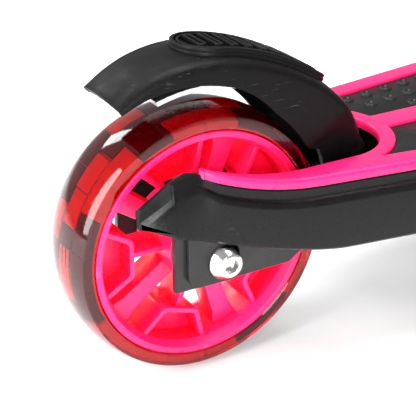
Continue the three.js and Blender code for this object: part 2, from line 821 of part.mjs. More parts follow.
function steeringHead() {
  const foot = box(head.from, wheelbase - lugFar, -head.half, head.half, plate.top + gap, head.bridgeTop);
  const bridge = box(wheelbase - lugFar - 1, wheelbase + lugFar + head.lug, -head.half, head.half,
    head.bridgeBottom, head.bridgeTop);
  const lug = box(0, head.lug, -head.lugHalf, head.lugHalf, head.lugBottom, head.bridgeBottom + bite);
  const rearLug = placed(lug, wheelbase - lugFar - head.lug, 0, 0);
  const frontLug = placed(lug, wheelbase + lugFar, 0, 0);
  const step = box(0, head.from + head.stepLength, -far, far, head.bridgeTop - head.stepDepth, far);
  const cone = rod('z', column.socketFoot, column.socketFrom, column.socketTo, [0, 0], 24, column.socketRadius);
  const socket = onColumn(cone).intersect(box(0, 4 * far, -far, far, head.bridgeTop - 10, 2 * far));
  const body = join(foot.subtract(step), bridge, rearLug, frontLug, socket);
  const pinBore = rod('x', lean.pinRadius + gap, 0, 4 * far, [0, lean.height], 24);
  const tubeBore = onColumn(rod('z', lowerTube.outer + gap, -bite, far, [0, 0], 24));
  const boltBores = headBolt.atX.map((x) => join(
    rod('z', headBolt.radius + gap, 0, far, [x, 0]),
    rod('z', headBolt.headRadius + gap, plate.top + headBolt.seat, far, [x, 0]),
  ));
  return cut(body, pinBore, tubeBore, ...boltBores);
}

function headBoltSolid() {
  const seat = plate.top + headBolt.seat + gap;
  return join(
    rod('z', headBolt.headRadius, seat, seat + headBolt.headHeight),
    rod('z', headBolt.radius, plate.top - 6, seat + bite),
  );
}

function leanPin() {
  const start = wheelbase - lugFar - head.lug + bite;
  const end = wheelbase + lugFar + head.lug + gap;
  return join(
    rod('x', lean.pinRadius, start, end + bite, [0, lean.height], 24),
    rod('x', lean.headRadius, end, end + lean.headHeight, [0, lean.height], 6),
  );
}

const kingY = kingpin.track / 2;

function truckBeam() {
  const { half, bossHalf, bossDrop, armHalf, armBottom, armTop, lug, lugRadius, postThickness } = truck;
  const boss = box(-half, half, -bossHalf, bossHalf, armBottom - bossDrop, armTop);
  const postY = kingY - lugRadius;
  const arm = box(-armHalf, armHalf, 0, postY, armBottom, armTop);
  const post = box(1 - armHalf, armHalf - 1, postY - postThickness, postY, kingpin.bottom, kingpin.top);
  const lugs = [kingpin.bottom, kingpin.top - lug].flatMap((z) => [
    rod('z', lugRadius, z, z + lug, [0, kingY]),
    box(-lugRadius, lugRadius, postY - bite, kingY, z, z + lug),
  ]);
  const kingBore = bothSides(rod('z', kingpin.radius + gap, 0, far, [0, kingY]));
  const pinBore = rod('x', lean.pinRadius + gap, -far, far, [0, lean.height], 24);
  return cut(join(boss, bothSides(join(arm, post, ...lugs))), kingBore, pinBore);
}

function kingpinSolid() {
  return join(
    rod('z', kingpin.radius, kingpin.bottom - bite, kingpin.top + gap + bite),
    rod('z', kingpin.headRadius, kingpin.top + gap, kingpin.top + gap + kingpin.headHeight),
  );
}

const knuckleBottom = kingpin.bottom + truck.lug + gap;
const knuckleTop = kingpin.top - truck.lug - gap;
const stubShoulder = (frontTrack - kingpin.track) / 2 - front.hubHalf + bearing.inset - gap;
const stubEnd = (frontTrack - kingpin.track) / 2 + front.hubHalf + axleNut.stubProud;

// A left knuckle about its kingpin: barrel, stub axle outwards and a steering arm backwards.
function knuckleSolid() {
  const { radius, arm, armHalf, armHeight, pinRadius, pinProud } = knuckle;
  const barrel = rod('z', radius, knuckleBottom, knuckleTop, [0, 0], 20);
  const shoulder = rod('y', knuckle.shoulder, 0, stubShoulder, [0, front.radius], 24);
  const stub = rod('y', axleRadius - gap, 0, stubEnd, [0, front.radius], 24);
  const armTop = knuckleBottom + armHeight;
  const link = box(-arm, 0, -armHalf, armHalf, knuckleBottom, armTop);
  const eye = rod('z', armHalf, knuckleBottom, armTop, [-arm, 0], 20);
  const pin = rod('z', pinRadius, knuckleBottom - tieRod.thickness - pinProud, knuckleBottom + bite, [-arm, 0]);
  return cut(join(barrel, shoulder, stub, link, eye, pin), rod('z', kingpin.radius + gap, 0, far));
}

function tieRodSolid() {
  const top = knuckleBottom - gap;
  const bottom = top - tieRod.thickness;
  const x = wheelbase - knuckle.arm;
  const strip = box(x - tieRod.half, x + tieRod.half, -kingY, kingY, bottom, top);
  const eyes = bothSides(rod('z', tieRod.eyeOuter, bottom, top, [x, kingY], 24));
  return join(strip, eyes).subtract(bothSides(rod('z', tieRod.eyeRadius, 0, far, [x, kingY], 20)));
}

function axleNutSolid() {
  const { hexRadius, hexHeight, capRadius, capTop, height } = axleNut;
  const hex = rod('y', hexRadius, 0, hexHeight, [0, 0], 6);
  const cap = rod('y', capRadius, hexHeight, height, [0, 0], 24, capTop);
  return join(hex, cap).subtract(rod('y', axleRadius, -bite, hexHeight - bite));
}

function frontWheelGroup(side, s) {
  const bearings = [`front_bearing_outer_${side}`, `front_bearing_inner_${side}`];
  const nut = axleNutSolid();
  const nutAt = front.hubHalf - bearing.inset + gap;
  return group(wheelbase, (s * frontTrack) / 2, front.radius,
    ...wheelMeshes(front, {
      tyre: `front_tyre_${side}`,
      hub: `front_hub_${side}`,
      bearings: s > 0 ? bearings : bearings.reverse(),
    }),
    mesh(`front_axle_nut_${side}`, 'steel', placed(s > 0 ? nut : mirrored(nut), 0, s * nutAt, 0)));
}

// ---------- Column and handlebar (along +Z from the column's base) ----------

function lowerTubeSolid() {
  return ring('z', lowerTube.outer, lowerTube.outer - lowerTube.wall, 0, lowerTube.length, [0, 0], 20);
}

const collarFrom = lowerTube.length - collar.overlap;
const collarTo = collarFrom + collar.height;
const boltX = -collar.outer - collar.boltReach;
const boltZ = collarFrom + collar.height * collar.boltShare;

function clampCollar() {
  const shell = rod('z', collar.outer, collarFrom, collarTo, [0, 0], 24);
  const ears = box(-collar.outer - collar.earReach, -lowerTube.outer, -collar.earWidth, collar.earWidth,
    collarFrom + 2, collarTo - 8);
  const seat = rod('z', lowerTube.outer + gap, 0, lowerTube.length + gap, [0, 0], 24);
  const bore = rod('z', upperTube.outer + gap, 0, collarTo + bite, [0, 0], 24);
  const slit = box(-far, 0, -collar.slit / 2, collar.slit / 2, 0, collarTo + bite);
  const boltBore = rod('y', lever.pinRadius + gap, -far, far, [boltX, boltZ], 20);
  return cut(join(shell, ears), seat, bore, slit, boltBore);
}

function clampBolt() {
  const seat = -collar.earWidth - gap;
  return join(
    rod('y', lever.pinRadius, seat - bite, collar.earWidth + lever.pinProud, [boltX, boltZ], 20),
    rod('y', lever.headRadius, seat - lever.headHeight, seat, [boltX, boltZ], 6),
  );
}

// The cam lever turns on the bolt's free end and hangs down along the column.
function clampLever() {
  const cam = rod('y', lever.camRadius, 0, lever.thickness, [0, 0], 28);
  const end = -lever.length;
  const outline = [[-7, 0], [-8.5, end], [-4, end - 5], [2, end - 3], [4, end / 2], [7, 0]];
  const handle = sidePrism(outline, 0, lever.thickness);
  const body = join(cam, handle).subtract(rod('y', lever.pinRadius + gap, -far, far, [0, 0], 20));
  return placed(body, boltX, collar.earWidth + gap, boltZ);
}

const barZ = upperTube.to + tee.barAbove;

function upperTubeSolid() {
  return ring('z', upperTube.outer, upperTube.outer - upperTube.wall, upperTube.from, upperTube.to, [0, 0], 20);
}

function teeJoint() {
  const sleeve = rod('z', tee.sleeve, upperTube.to - tee.sleeveBelow, barZ, [0, 0], 20);
  const saddle = rod('y', tee.radius, -tee.half, tee.half, [0, barZ], 32);
  const tubeBore = rod('z', upperTube.outer + gap, 0, upperTube.to + gap, [0, 0], 20);
  const barBore = rod('y', bar.radius + gap, -far, far, [0, barZ], 28);
  return cut(join(sleeve, saddle), tubeBore, barBore);
}

function handlebarTube() {
  return ring('y', bar.radius, bar.radius - bar.wall, -bar.half, bar.half, [0, barZ], 28);
}

function gripSolid() {
  const start = bar.half - grip.length;
  const end = bar.half + grip.cap;
  const { outer, waist, flange, flangeWidth, endFlange } = grip;
  const profile = [
    [0, start], [flange, start], [flange, start + flangeWidth], [outer, start + 7],
    [waist, (start + end) / 2 - 8], [outer, end - 10], [endFlange, end - 7], [endFlange, end - 2],
    [outer, end], [0, end],
  ];
  const body = solid(new THREE.LatheGeometry(profile.map(([r, y]) => new THREE.Vector2(r, y)), 20));
  const bore = rod('y', bar.radius + gap, start - bite, bar.half + gap, [0, 0], 24);
  return placed(body.subtract(bore), 0, 0, barZ);
}

function columnGroup() {
  const parent = group(wheelbase, 0, column.base,
    mesh('lower_tube', 'pink', placed(lowerTubeSolid(), 0, 0, gap)),
    mesh('clamp_collar', 'black', placed(clampCollar(), 0, 0, gap)),
    mesh('clamp_bolt', 'steel', placed(clampBolt(), 0, 0, gap)),
    mesh('clamp_lever', 'black', placed(clampLever(), 0, 0, gap)),
    mesh('upper_tube', 'aluminium', upperTubeSolid()),
    mesh('tee_joint', 'black', teeJoint()),
    mesh('handlebar_tube', 'pink', handlebarTube()),
    mesh('grip_left', 'rubber', gripSolid()),
    mesh('grip_right', 'rubber', mirrored(gripSolid())));
  parent.rotation.y = -THREE.MathUtils.degToRad(column.tiltDeg);
  return parent;
}

// ---------- The scooter ----------

function deckGroup() {
  const padLeft = gripPad();
  const plateLeft = dropoutPlate();
  const screws = screwSpots.map(([x, y], i) => {
    const part = mesh(`belly_screw_${i + 1}`, 'steel', bellyScrew());
    part.position.set(x, y, 0);
    return part;
  });
  return group(0, 0, 0,
    mesh('deck_shell', 'black', deckShell()),
    mesh('deck_frame', 'pink', deckFrame()),
    mesh('grip_pad_left', 'rubber', padLeft),
    mesh('grip_pad_right', 'rubber', mirrored(padLeft)),
    mesh('belly_cover', 'black', bellyCover()),
    ...screws,
    mesh('chassis', 'steelBlack', chassis()),
    mesh('dropout_plate_left', 'steelBlack', plateLeft),
    mesh('dropout_plate_right', 'steelBlack', mirrored(plateLeft)));
}

function brakeGroup() {
  const pinHalf = plate.inner + plate.thickness + 1;
  return group(0, 0, 0,
    mesh('brake_fender', 'black', brakeFender()),
    mesh('brake_foot_pad', 'rubber', brakeFootPad()),
    mesh('brake_wear_plate', 'steel', wearPlate()),
    mesh('brake_pin', 'steel', rod('y', brake.pinRadius, -pinHalf, pinHalf, [brake.pivotX, brake.pivotZ], 20)),
    mesh('brake_spring', 'steel', placed(brakeSpring(), brake.pivotX, 0, brake.pivotZ)));
}

function truckGroup() {
  const bumperFrom = truck.armTop + gap;
  const bolts = headBolt.atX.map((x, i) => {
    const part = mesh(`head_bolt_${i + 1}`, 'steel', headBoltSolid());
    part.position.x = x;
    return part;
  });
  const perSide = [['left', 1], ['right', -1]].flatMap(([side, s]) => {
    const pin = mesh(`kingpin_${side}`, 'steel', kingpinSolid());
    pin.position.set(wheelbase, s * kingY, 0);
    const hub = mesh(`knuckle_${side}`, 'steelBlack', s > 0 ? knuckleSolid() : mirrored(knuckleSolid()));
    hub.position.set(wheelbase, s * kingY, 0);
    const stop = mesh(`lean_bumper_${side}`, 'rubber',
      rod('z', bumper.radius, bumperFrom, bumperFrom + bumper.height, [0, 0], 20, bumper.radius - 1.5));
    stop.position.set(wheelbase, s * bumper.at, 0);
    return [pin, hub, stop];
  });
  return group(0, 0, 0,
    mesh('steering_head', 'black', steeringHead()),
    ...bolts,
    mesh('lean_pin', 'steel', leanPin()),
    mesh('truck_beam', 'black', placed(truckBeam(), wheelbase, 0, 0)),
    mesh('tie_rod', 'steel', tieRodSolid()),
    ...perSide);
}

const middle = (wheelbase + front.radius - rear.radius) / 2;

export default group(-middle, 0, 0,
  rearWheelGroup(),
  deckGroup(),
  brakeGroup(),
  truckGroup(),
  frontWheelGroup('left', 1),
  frontWheelGroup('right', -1),
  columnGroup());
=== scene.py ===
"""Three-wheeled child's kick scooter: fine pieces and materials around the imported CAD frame.

Lengths in the helpers are millimetres: x forward from the rear axle, y to the left, z from the ground.
world() turns them into the row frame's metres.
"""

import math
import random

import bmesh
import bpy
from mathutils import Matrix, Vector
from mathutils.geometry import delaunay_2d_cdt

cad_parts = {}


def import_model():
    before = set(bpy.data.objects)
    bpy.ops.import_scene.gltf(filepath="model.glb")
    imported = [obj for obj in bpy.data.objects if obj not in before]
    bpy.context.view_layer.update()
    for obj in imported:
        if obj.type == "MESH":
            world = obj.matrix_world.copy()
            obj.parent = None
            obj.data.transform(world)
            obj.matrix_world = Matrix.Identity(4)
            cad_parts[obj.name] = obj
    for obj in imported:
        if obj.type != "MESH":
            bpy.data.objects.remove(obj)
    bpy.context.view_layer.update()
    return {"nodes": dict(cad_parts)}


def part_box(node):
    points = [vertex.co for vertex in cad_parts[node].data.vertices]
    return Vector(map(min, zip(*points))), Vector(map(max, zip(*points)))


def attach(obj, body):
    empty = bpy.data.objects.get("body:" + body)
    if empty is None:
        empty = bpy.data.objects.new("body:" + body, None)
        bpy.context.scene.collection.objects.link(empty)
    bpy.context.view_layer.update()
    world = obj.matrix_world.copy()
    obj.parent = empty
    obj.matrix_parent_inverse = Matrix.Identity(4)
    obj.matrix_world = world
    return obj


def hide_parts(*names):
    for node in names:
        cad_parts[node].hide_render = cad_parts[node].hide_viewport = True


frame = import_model()

MM = 0.001
LEAST_TURN = math.radians(12)
rng = random.Random(7)


def node_box(node):
    """The CAD node's lowest and highest corners, in local millimetres."""
    low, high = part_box(node)
    return [Vector(((p.x - ORIGIN_X) / MM, p.y / MM, p.z / MM)) for p in (low, high)]


def middle_x(node):
    low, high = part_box(node)
    return (low.x + high.x) / 2


ORIGIN_X = middle_x("rear_tyre")


def world(x, y, z):
    return Vector((ORIGIN_X + x * MM, y * MM, z * MM))


# ---------- Sizes read off the CAD frame ----------

tyre_low, tyre_high = node_box("rear_tyre")
front_low, front_high = node_box("front_tyre_left")
shell_low, shell_high = node_box("deck_shell")

REAR = {
    "radius": (tyre_high.z - tyre_low.z) / 2,
    "half": tyre_high.y,
    "x": 0.0,
    "y": 0.0,
    "rim": 42.5,
    "boss": 14.5,
    "hub_half": 13.1,
    "spokes": 5,
    "lanes": 3,
    "blocks": 22,
}
FRONT = {
    "radius": (front_high.z - front_low.z) / 2,
    "half": (front_high.y - front_low.y) / 2,
    "x": (front_high.x + front_low.x) / 2,
    "y": (front_high.y + front_low.y) / 2,
    "rim": 50.0,
    "boss": 14.5,
    "hub_half": 11.8,
    "spokes": 5,
    "lanes": 3,
    "blocks": 26,
}
WHEELBASE = FRONT["x"]
DECK_TOP = 76.0
DECK_BOTTOM = shell_low.z
NOSE = 358.0
NOSE_HALF = 30.0
WIDEST = shell_high.y
WIDEST_AT = 250.0
STRAIGHT_TO = 200.0
SIDE_AT_100 = 44.0
SIDE_SLOPE = 0.149
TAIL = shell_low.x
TAIL_HALF = 23.2
CHAMFER_END = -9.5
WELL_HALF = 22.0
WELL_END = 56.0
RISE_FROM = 35.0
RISE_TO = -9.0
TAIL_RISE = 10.0
TRIM = {"inset": 2.6, "thickness": 3.5, "border": 9.0, "collar": 6.0, "spine": 5.5, "tip": -8.0}
PIVOT = (62.0, 57.0)
COLUMN_TILT = math.radians(8)
COLUMN_BASE = (WHEELBASE, 122.0)
BAR_UP = 654.0


# ---------- Meshes ----------


def new_object(name, data):
    obj = bpy.data.objects.new(name, data)
    bpy.context.scene.collection.objects.link(obj)
    return obj


def smooth(mesh, sharp_deg):
    """Smooth shading, broken at edges sharper than an angle."""
    for face in mesh.polygons:
        face.use_smooth = True
    mesh.set_sharp_from_angle(angle=math.radians(sharp_deg))


def finish_mesh(name, bm, sharp_deg=35):
    """A mesh object from a bmesh in local millimetres, smooth but for its sharp edges."""
    bmesh.ops.recalc_face_normals(bm, faces=bm.faces)
    mesh = bpy.data.meshes.new(name)
    bm.to_mesh(mesh)
    bm.free()
    mesh.transform(Matrix.Translation((ORIGIN_X, 0, 0)) @ Matrix.Scale(MM, 4))
    smooth(mesh, sharp_deg)
    return new_object(name, mesh)


def arc(centre, radius, start_deg, end_deg, steps):
    """Points on an arc, both ends included."""
    points = []
    for i in range(steps + 1):
        angle = math.radians(start_deg + (end_deg - start_deg) * i / steps)
        points.append((centre[0] + radius * math.cos(angle), centre[1] + radius * math.sin(angle)))
    return points


def fillet(points, radius, steps=3, closed=True):
    """The outline with each corner rounded that turns by LEAST_TURN or more."""
    out = []
    count = len(points)
    for i in range(count):
        p = Vector(points[i])
        if not closed and i in (0, count - 1):
            out.append(p)
            continue
        before = Vector(points[i - 1]) - p
        after = Vector(points[(i + 1) % count]) - p
        turn = math.pi - before.angle(after, math.pi)
        if turn < LEAST_TURN:
            out.append(p)
            continue
        reach = min(radius * math.tan(turn / 2), before.length * 0.45, after.length * 0.45)
        a = p + before.normalized() * reach
        b = p + after.normalized() * reach
        for k in range(steps + 1):
            t = k / steps
            out.append(a * (1 - t) ** 2 + p * 2 * t * (1 - t) + b * t**2)
    return [Vector(q) for q in out]


def area(loop):
    return sum(a[0] * b[1] - b[0] * a[1] for a, b in zip(loop, loop[1:] + loop[:1])) / 2


def wound(loop, anticlockwise):
    loop = [Vector((p[0], p[1])) for p in loop]
    return loop if (area(loop) > 0) == anticlockwise else loop[::-1]


def inset(loop, distance):
    """Each point of the loop moved to its left, mitred."""
    out = []
    for i, p in enumerate(loop):
        d1 = (p - loop[i - 1]).normalized()
        d2 = (loop[(i + 1) % len(loop)] - p).normalized()
        n1 = Vector((-d1.y, d1.x))
        mitre = n1 + Vector((-d2.y, d2.x))
        mitre = mitre.normalized() if mitre.length > 1e-6 else n1
        out.append(p + mitre * (distance / max(0.5, mitre.dot(n1))))
    return out


def inside(point, loop):
    hit = False
    for a, b in zip(loop, loop[1:] + loop[:1]):
        if (a.y > point.y) != (b.y > point.y):
            if point.x < (b.x - a.x) * (point.y - a.y) / (b.y - a.y) + a.x:
                hit = not hit
    return hit


def cap_faces(loops):
    """Triangles that fill the first loop and leave the others open, as indices into all the points."""
    points = [p for loop in loops for p in loop]
    edges = []
    start = 0
    for loop in loops:
        edges += [(start + i, start + (i + 1) % len(loop)) for i in range(len(loop))]
        start += len(loop)
    found, _, triangles, origin, _, _ = delaunay_2d_cdt(points, edges, [], 1, 1e-7)
    faces = []
    for tri in triangles:
        centre = sum((found[i] for i in tri), Vector((0, 0))) / 3
        if inside(centre, loops[0]) and not any(inside(centre, hole) for hole in loops[1:]):
            faces.append([origin[i][0] for i in tri if origin[i]])
    return [f for f in faces if len(f) == 3]


def soft_rings(top, bottom, r_top, r_bottom, steps):
    """(inset, height function) of each ring of a wall with rounded edges, from the bottom up."""
    rings = []
    for i in range(steps + 1):
        a = math.pi / 2 * i / steps
        rings.append((r_bottom * (1 - math.sin(a)), lambda p, a=a: bottom(p) + r_bottom * (1 - math.cos(a))))
    for i in range(steps + 1):
        a = math.pi / 2 * i / steps
        rings.append((r_top * (1 - math.cos(a)), lambda p, a=a: top(p) - r_top * (1 - math.sin(a))))
    return rings


def flat(height):
    return lambda p: height


def slab(bm, loops, rings_of, place):
    """A plate with any outline and holes.

    rings_of(i) lists loop i's rings, and place(u, v, w) puts a point in space.
    """
    loops = [wound(loop, i == 0) for i, loop in enumerate(loops)]
    ring_verts = []
    for i, loop in enumerate(loops):
        rings = []
        for distance, height in rings_of(i):
            moved = inset(loop, distance) if abs(distance) > 1e-9 else loop
            rings.append(([bm.verts.new(place(p.x, p.y, height(p))) for p in moved], moved))
        ring_verts.append(rings)
        for (low, _), (high, _) in zip(rings, rings[1:]):
            for k in range(len(loop)):
                n = (k + 1) % len(loop)
                bm.faces.new((low[k], low[n], high[n], high[k]))
    for end in (0, -1):
        verts = [v for rings in ring_verts for v in rings[end][0]]
        for tri in cap_faces([rings[end][1] for rings in ring_verts]):
            face = [verts[i] for i in tri]
            if bm.faces.get(face) is None and len(set(face)) == 3:
                bm.faces.new(face if end else face[::-1])


def straight_up(u, v, w):
    return (u, v, w)


def sideways(u, v, w):
    return (u, w, v)


def plate(bm, loops, low, high, edge, place=sideways):
    """A flat plate with rounded edges, its thickness along y, or along z with straight_up."""
    rings = soft_rings(flat(high), flat(low), edge, edge, 2)
    slab(bm, loops, lambda i: rings, place)


def plate_object(name, loops, low, high, edge, sharp_deg=35):
    bm = bmesh.new()
    plate(bm, loops, low, high, edge)
    return finish_mesh(name, bm, sharp_deg)


def lathe(bm, profile, centre, segments):
    """A closed profile of (radius, y) points turned about an axle along Y."""
    count = len(profile)
    rows = []
    for i in range(segments):
        angle = 2 * math.pi * i / segments
        c, s = math.cos(angle), math.sin(angle)
        rows.append([
            bm.verts.new((centre[0] + r * c, centre[1] + y, centre[2] + r * s)) for r, y in profile
        ])
    for i in range(segments):
        a, b = rows[i], rows[(i + 1) % segments]
        for k in range(count):
            n = (k + 1) % count
            bm.faces.new((a[k], b[k], b[n], a[n]))
    bmesh.ops.remove_doubles(bm, verts=bm.verts[:], dist=1e-5)


def turned_piece(name, profile, centre, segments, edge):
    bm = bmesh.new()
    lathe(bm, fillet(profile, edge), centre, segments)
    return finish_mesh(name, bm)


def apply_modifiers(obj):
    bpy.context.view_layer.update()
    evaluated = obj.evaluated_get(bpy.context.evaluated_depsgraph_get())
    mesh = bpy.data.meshes.new_from_object(evaluated)
    obj.modifiers.clear()
    obj.data = mesh


def combine(obj, tools, operation, sharp_deg=35):
    """Joins the tools to obj or cuts it with them, and removes them."""
    for tool in tools:
        modifier = obj.modifiers.new("combine", "BOOLEAN")
        modifier.operation = operation
        modifier.solver = "MANIFOLD"
        modifier.object = tool
        apply_modifiers(obj)
        bpy.data.objects.remove(tool)
    smooth(obj.data, sharp_deg)


def piece(obj, body, slot, material, *nodes):
    """Gives a finished object its material and its body, and hides the CAD nodes it stands for."""
    obj.data.materials.clear()
    obj.data.materials.append(material)
    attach(obj, body)
    if nodes:
        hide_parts(*nodes)


def round_edges(obj, width, segments, sharp_deg):
    """Bevels the edges sharper than an angle, and applies whatever modifiers obj has."""
    bevel = obj.modifiers.new("bevel", "BEVEL")
    bevel.width = width * MM
    bevel.segments = segments
    bevel.limit_method = "ANGLE"
    bevel.angle_limit = math.radians(sharp_deg)
    apply_modifiers(obj)


def refined(node, body, slot, material, edge):
    """The CAD node's own shape with rounded edges."""
    bm = bmesh.new()
    bm.from_mesh(frame["nodes"][node].data)
    bmesh.ops.remove_doubles(bm, verts=bm.verts[:], dist=1e-6)
    bmesh.ops.dissolve_limit(
        bm, angle_limit=math.radians(0.6), verts=bm.verts[:], edges=bm.edges[:]
    )
    mesh = bpy.data.meshes.new(node + "_soft")
    bm.to_mesh(mesh)
    bm.free()
    obj = new_object(node + "_soft", mesh)
    round_edges(obj, edge, 2, 40)
    smooth(obj.data, 32)
    piece(obj, body, slot, material, node)


# ---------- Materials ----------


class Look:
    """A Principled material with helpers for noise, bump and wear. Texture sizes are in millimetres."""

    def __init__(self, name, color, roughness, **values):
        self.material = bpy.data.materials.new(name)
        self.material.use_nodes = True
        self.tree = self.material.node_tree
        self.shader = self.tree.nodes["Principled BSDF"]
        self.shader.inputs["Base Color"].default_value = (*color, 1)
        self.shader.inputs["Roughness"].default_value = roughness
        for key, value in values.items():
            self.shader.inputs[key.replace("_", " ")].default_value = value
        self.coordinates = self.add("ShaderNodeTexCoord").outputs["Object"]
        self.normal = None

    def add(self, kind, **settings):
        made = self.tree.nodes.new(kind)
        for key, value in settings.items():
            setattr(made, key, value)
        return made

    def link(self, source, target):
        self.tree.links.new(source, target)

    def stretched(self, scale):
        mapping = self.add("ShaderNodeMapping")
        mapping.inputs["Scale"].default_value = scale
        self.link(self.coordinates, mapping.inputs["Vector"])
        return mapping.outputs["Vector"]

    def noise(self, size, detail, stretch=None):
        texture = self.add("ShaderNodeTexNoise")
        texture.inputs["Scale"].default_value = 1 / (size * MM)
        texture.inputs["Detail"].default_value = detail
        self.link(self.stretched(stretch) if stretch else self.coordinates, texture.inputs["Vector"])
        return texture.outputs["Fac"]

    def cells(self, size):
        texture = self.add("ShaderNodeTexVoronoi")
        texture.inputs["Scale"].default_value = 1 / (size * MM)
        self.link(self.coordinates, texture.inputs["Vector"])
        return texture.outputs["Distance"]

    def remap(self, value, low, high, to_low, to_high):
        node = self.add("ShaderNodeMapRange")
        self.link(value, node.inputs["Value"])
        ends = {"From Min": low, "From Max": high, "To Min": to_low, "To Max": to_high}
        for key, number in ends.items():
            node.inputs[key].default_value = number
        return node.outputs["Result"]

    def bump(self, height, depth, strength):
        """Relief of a given depth, on top of any relief already there."""
        node = self.add("ShaderNodeBump")
        node.inputs["Strength"].default_value = strength
        node.inputs["Distance"].default_value = depth * MM
        self.link(height, node.inputs["Height"])
        if self.normal:
            self.link(self.normal, node.inputs["Normal"])
        self.normal = node.outputs["Normal"]
        self.link(self.normal, self.shader.inputs["Normal"])
        return self

    def rough(self, value, low, high, to_low, to_high):
        self.link(self.remap(value, low, high, to_low, to_high), self.shader.inputs["Roughness"])
        return self

    def tint(self, value, low, high, other):
        """Blends the base colour towards another where value passes from low to high."""
        blend = self.add("ShaderNodeMix", data_type="RGBA")
        target = self.shader.inputs["Base Color"]
        if target.is_linked:
            self.link(target.links[0].from_socket, blend.inputs["A"])
        else:
            blend.inputs["A"].default_value = target.default_value
        blend.inputs["B"].default_value = (*other, 1)
        self.link(self.remap(value, low, high, 0, 1), blend.inputs["Factor"])
        self.link(blend.outputs["Result"], target)
        return self

    def edges(self, other, low, high):
        """Paler colour along the outer edges: a painted highlight where a rounded edge would catch the light.
        """
        pointiness = self.add("ShaderNodeNewGeometry").outputs["Pointiness"]
        return self.tint(pointiness, low, high, other)

    def scratches(self, direction, other):
        """Fine straight scratches along one direction, in a few patches."""
        lines = self.noise(0.9, 2.0, stretch=direction)
        patches = self.noise(28, 1.0)
        product = self.add("ShaderNodeMath", operation="MULTIPLY")
        self.link(self.remap(lines, 0.69, 0.73, 0, 1), product.inputs[0])
        self.link(self.remap(patches, 0.57, 0.64, 0, 1), product.inputs[1])
        self.tint(product.outputs["Value"], 0, 1, other)
        return self.bump(product.outputs["Value"], -0.03, 0.4)


PINK = (1.0, 0.012, 0.135)
# Painted highlight colour for the pink's outer edges.
PINK_EDGE_HIGHLIGHT = (1.0, 0.06, 0.24)
BLACK = (0.0030, 0.0030, 0.0032)


def clear_red():
    look = Look("clear_red_tyre", (0.60, 0.003, 0.014), 0.06, IOR=1.45, Transmission_Weight=0.97)
    look.tint(look.noise(14, 2), 0.45, 0.75, (0.42, 0.002, 0.009))
    look.tint(look.noise(1.1, 3), 0.70, 0.76, (0.30, 0.04, 0.04))
    look.bump(look.noise(3.5, 3), 0.05, 0.2)
    return look.rough(look.noise(4, 4), 0.35, 0.7, 0.03, 0.12).material


def moulded_pink(name, roughness, recess=None):
    # Painted light: a faint pink emission keeps the pink glowing in shade, though it is no lamp.
    look = Look(
        name, PINK, roughness, Specular_IOR_Level=0.35,
        Subsurface_Weight=0.06, Subsurface_Radius=(0.004, 0.001, 0.002),
        Emission_Color=(1.0, 0.005, 0.05, 1), Emission_Strength=0.05,
    )
    look.tint(look.noise(32, 2), 0.42, 0.75, (0.94, 0.008, 0.105))
    look.tint(look.noise(0.8, 2), 0.74, 0.80, (0.86, 0.02, 0.12))
    # Painted highlight: paler pink along the outer edges.
    look.edges(PINK_EDGE_HIGHLIGHT, 0.53, 0.66)
    # Painted shade: where ambient occlusion finds a recess, the pink turns to the deep red it shows in shade.
    if recess:
        shade = look.add("ShaderNodeAmbientOcclusion", samples=6)
        shade.inputs["Distance"].default_value = 22 * MM
        look.tint(look.remap(shade.outputs["AO"], 0.15, 0.75, 1, 0), 0, 1, recess)
    look.bump(look.noise(0.55, 4), 0.03, 0.35)
    look.bump(look.noise(9, 2), 0.12, 0.12)
    return look.rough(look.noise(5, 4), 0.3, 0.7, roughness - 0.07, roughness + 0.1).material


def moulded_black(name, roughness, grain, depth, base=BLACK, gloss=0.13):
    look = Look(name, base, roughness, Specular_IOR_Level=gloss)
    look.tint(look.noise(24, 3), 0.4, 0.8, tuple(c * 1.7 for c in base))
    look.tint(look.cells(1.6), 0.02, 0.09, tuple(c * 1.25 for c in base))
    # Painted highlight: paler black along the outer edges.
    look.edges(tuple(c * 4 for c in base), 0.54, 0.70)
    look.scratches((0.12, 1.0, 1.6), (0.03, 0.03, 0.03))
    look.bump(look.noise(grain, 5), depth, 0.6)
    return look.rough(look.noise(6, 4), 0.3, 0.72, roughness - 0.07, roughness + 0.12).material


def black_rubber():
    look = Look("black_rubber", (0.0032, 0.0032, 0.0035), 0.5, Specular_IOR_Level=0.2)
    look.tint(look.noise(17, 4), 0.45, 0.75, (0.0062, 0.006, 0.006))
    look.tint(look.noise(0.7, 2), 0.70, 0.78, (0.03, 0.028, 0.026))
    # Painted highlight: paler rubber along the outer edges.
    look.edges((0.03, 0.03, 0.032), 0.53, 0.66)
    look.bump(look.noise(0.35, 4), 0.05, 0.6)
    return look.rough(look.noise(5, 3), 0.3, 0.7, 0.3, 0.5).material


def powder_coat(name, color, other, roughness):
    look = Look(name, color, roughness, Coat_Weight=0.15, Coat_Roughness=0.25, Specular_IOR_Level=0.3)
    look.tint(look.noise(20, 3), 0.4, 0.75, other)
    # Painted highlight: paler coat along the outer edges.
    look.edges(tuple(min(1.0, c * 2 + 0.01) for c in color), 0.54, 0.7)
    look.bump(look.noise(1.3, 3), 0.05, 0.4)
    look.bump(look.cells(0.5), 0.02, 0.3)
    return look.rough(look.noise(3, 4), 0.3, 0.7, roughness - 0.06, roughness + 0.1).material


def metal(name, color, other, roughness, brushed=None):
    look = Look(name, color, roughness, Metallic=1.0)
    look.tint(look.noise(6, 4), 0.4, 0.8, other)
    look.tint(look.noise(0.8, 3), 0.73, 0.78, tuple(c * 0.4 for c in color))
    look.bump(look.noise(0.6, 3, stretch=brushed), 0.02, 0.3)
    wear = look.noise(1.5, 4, stretch=brushed)
    return look.rough(wear, 0.3, 0.75, roughness * 0.6, roughness * 1.7).material


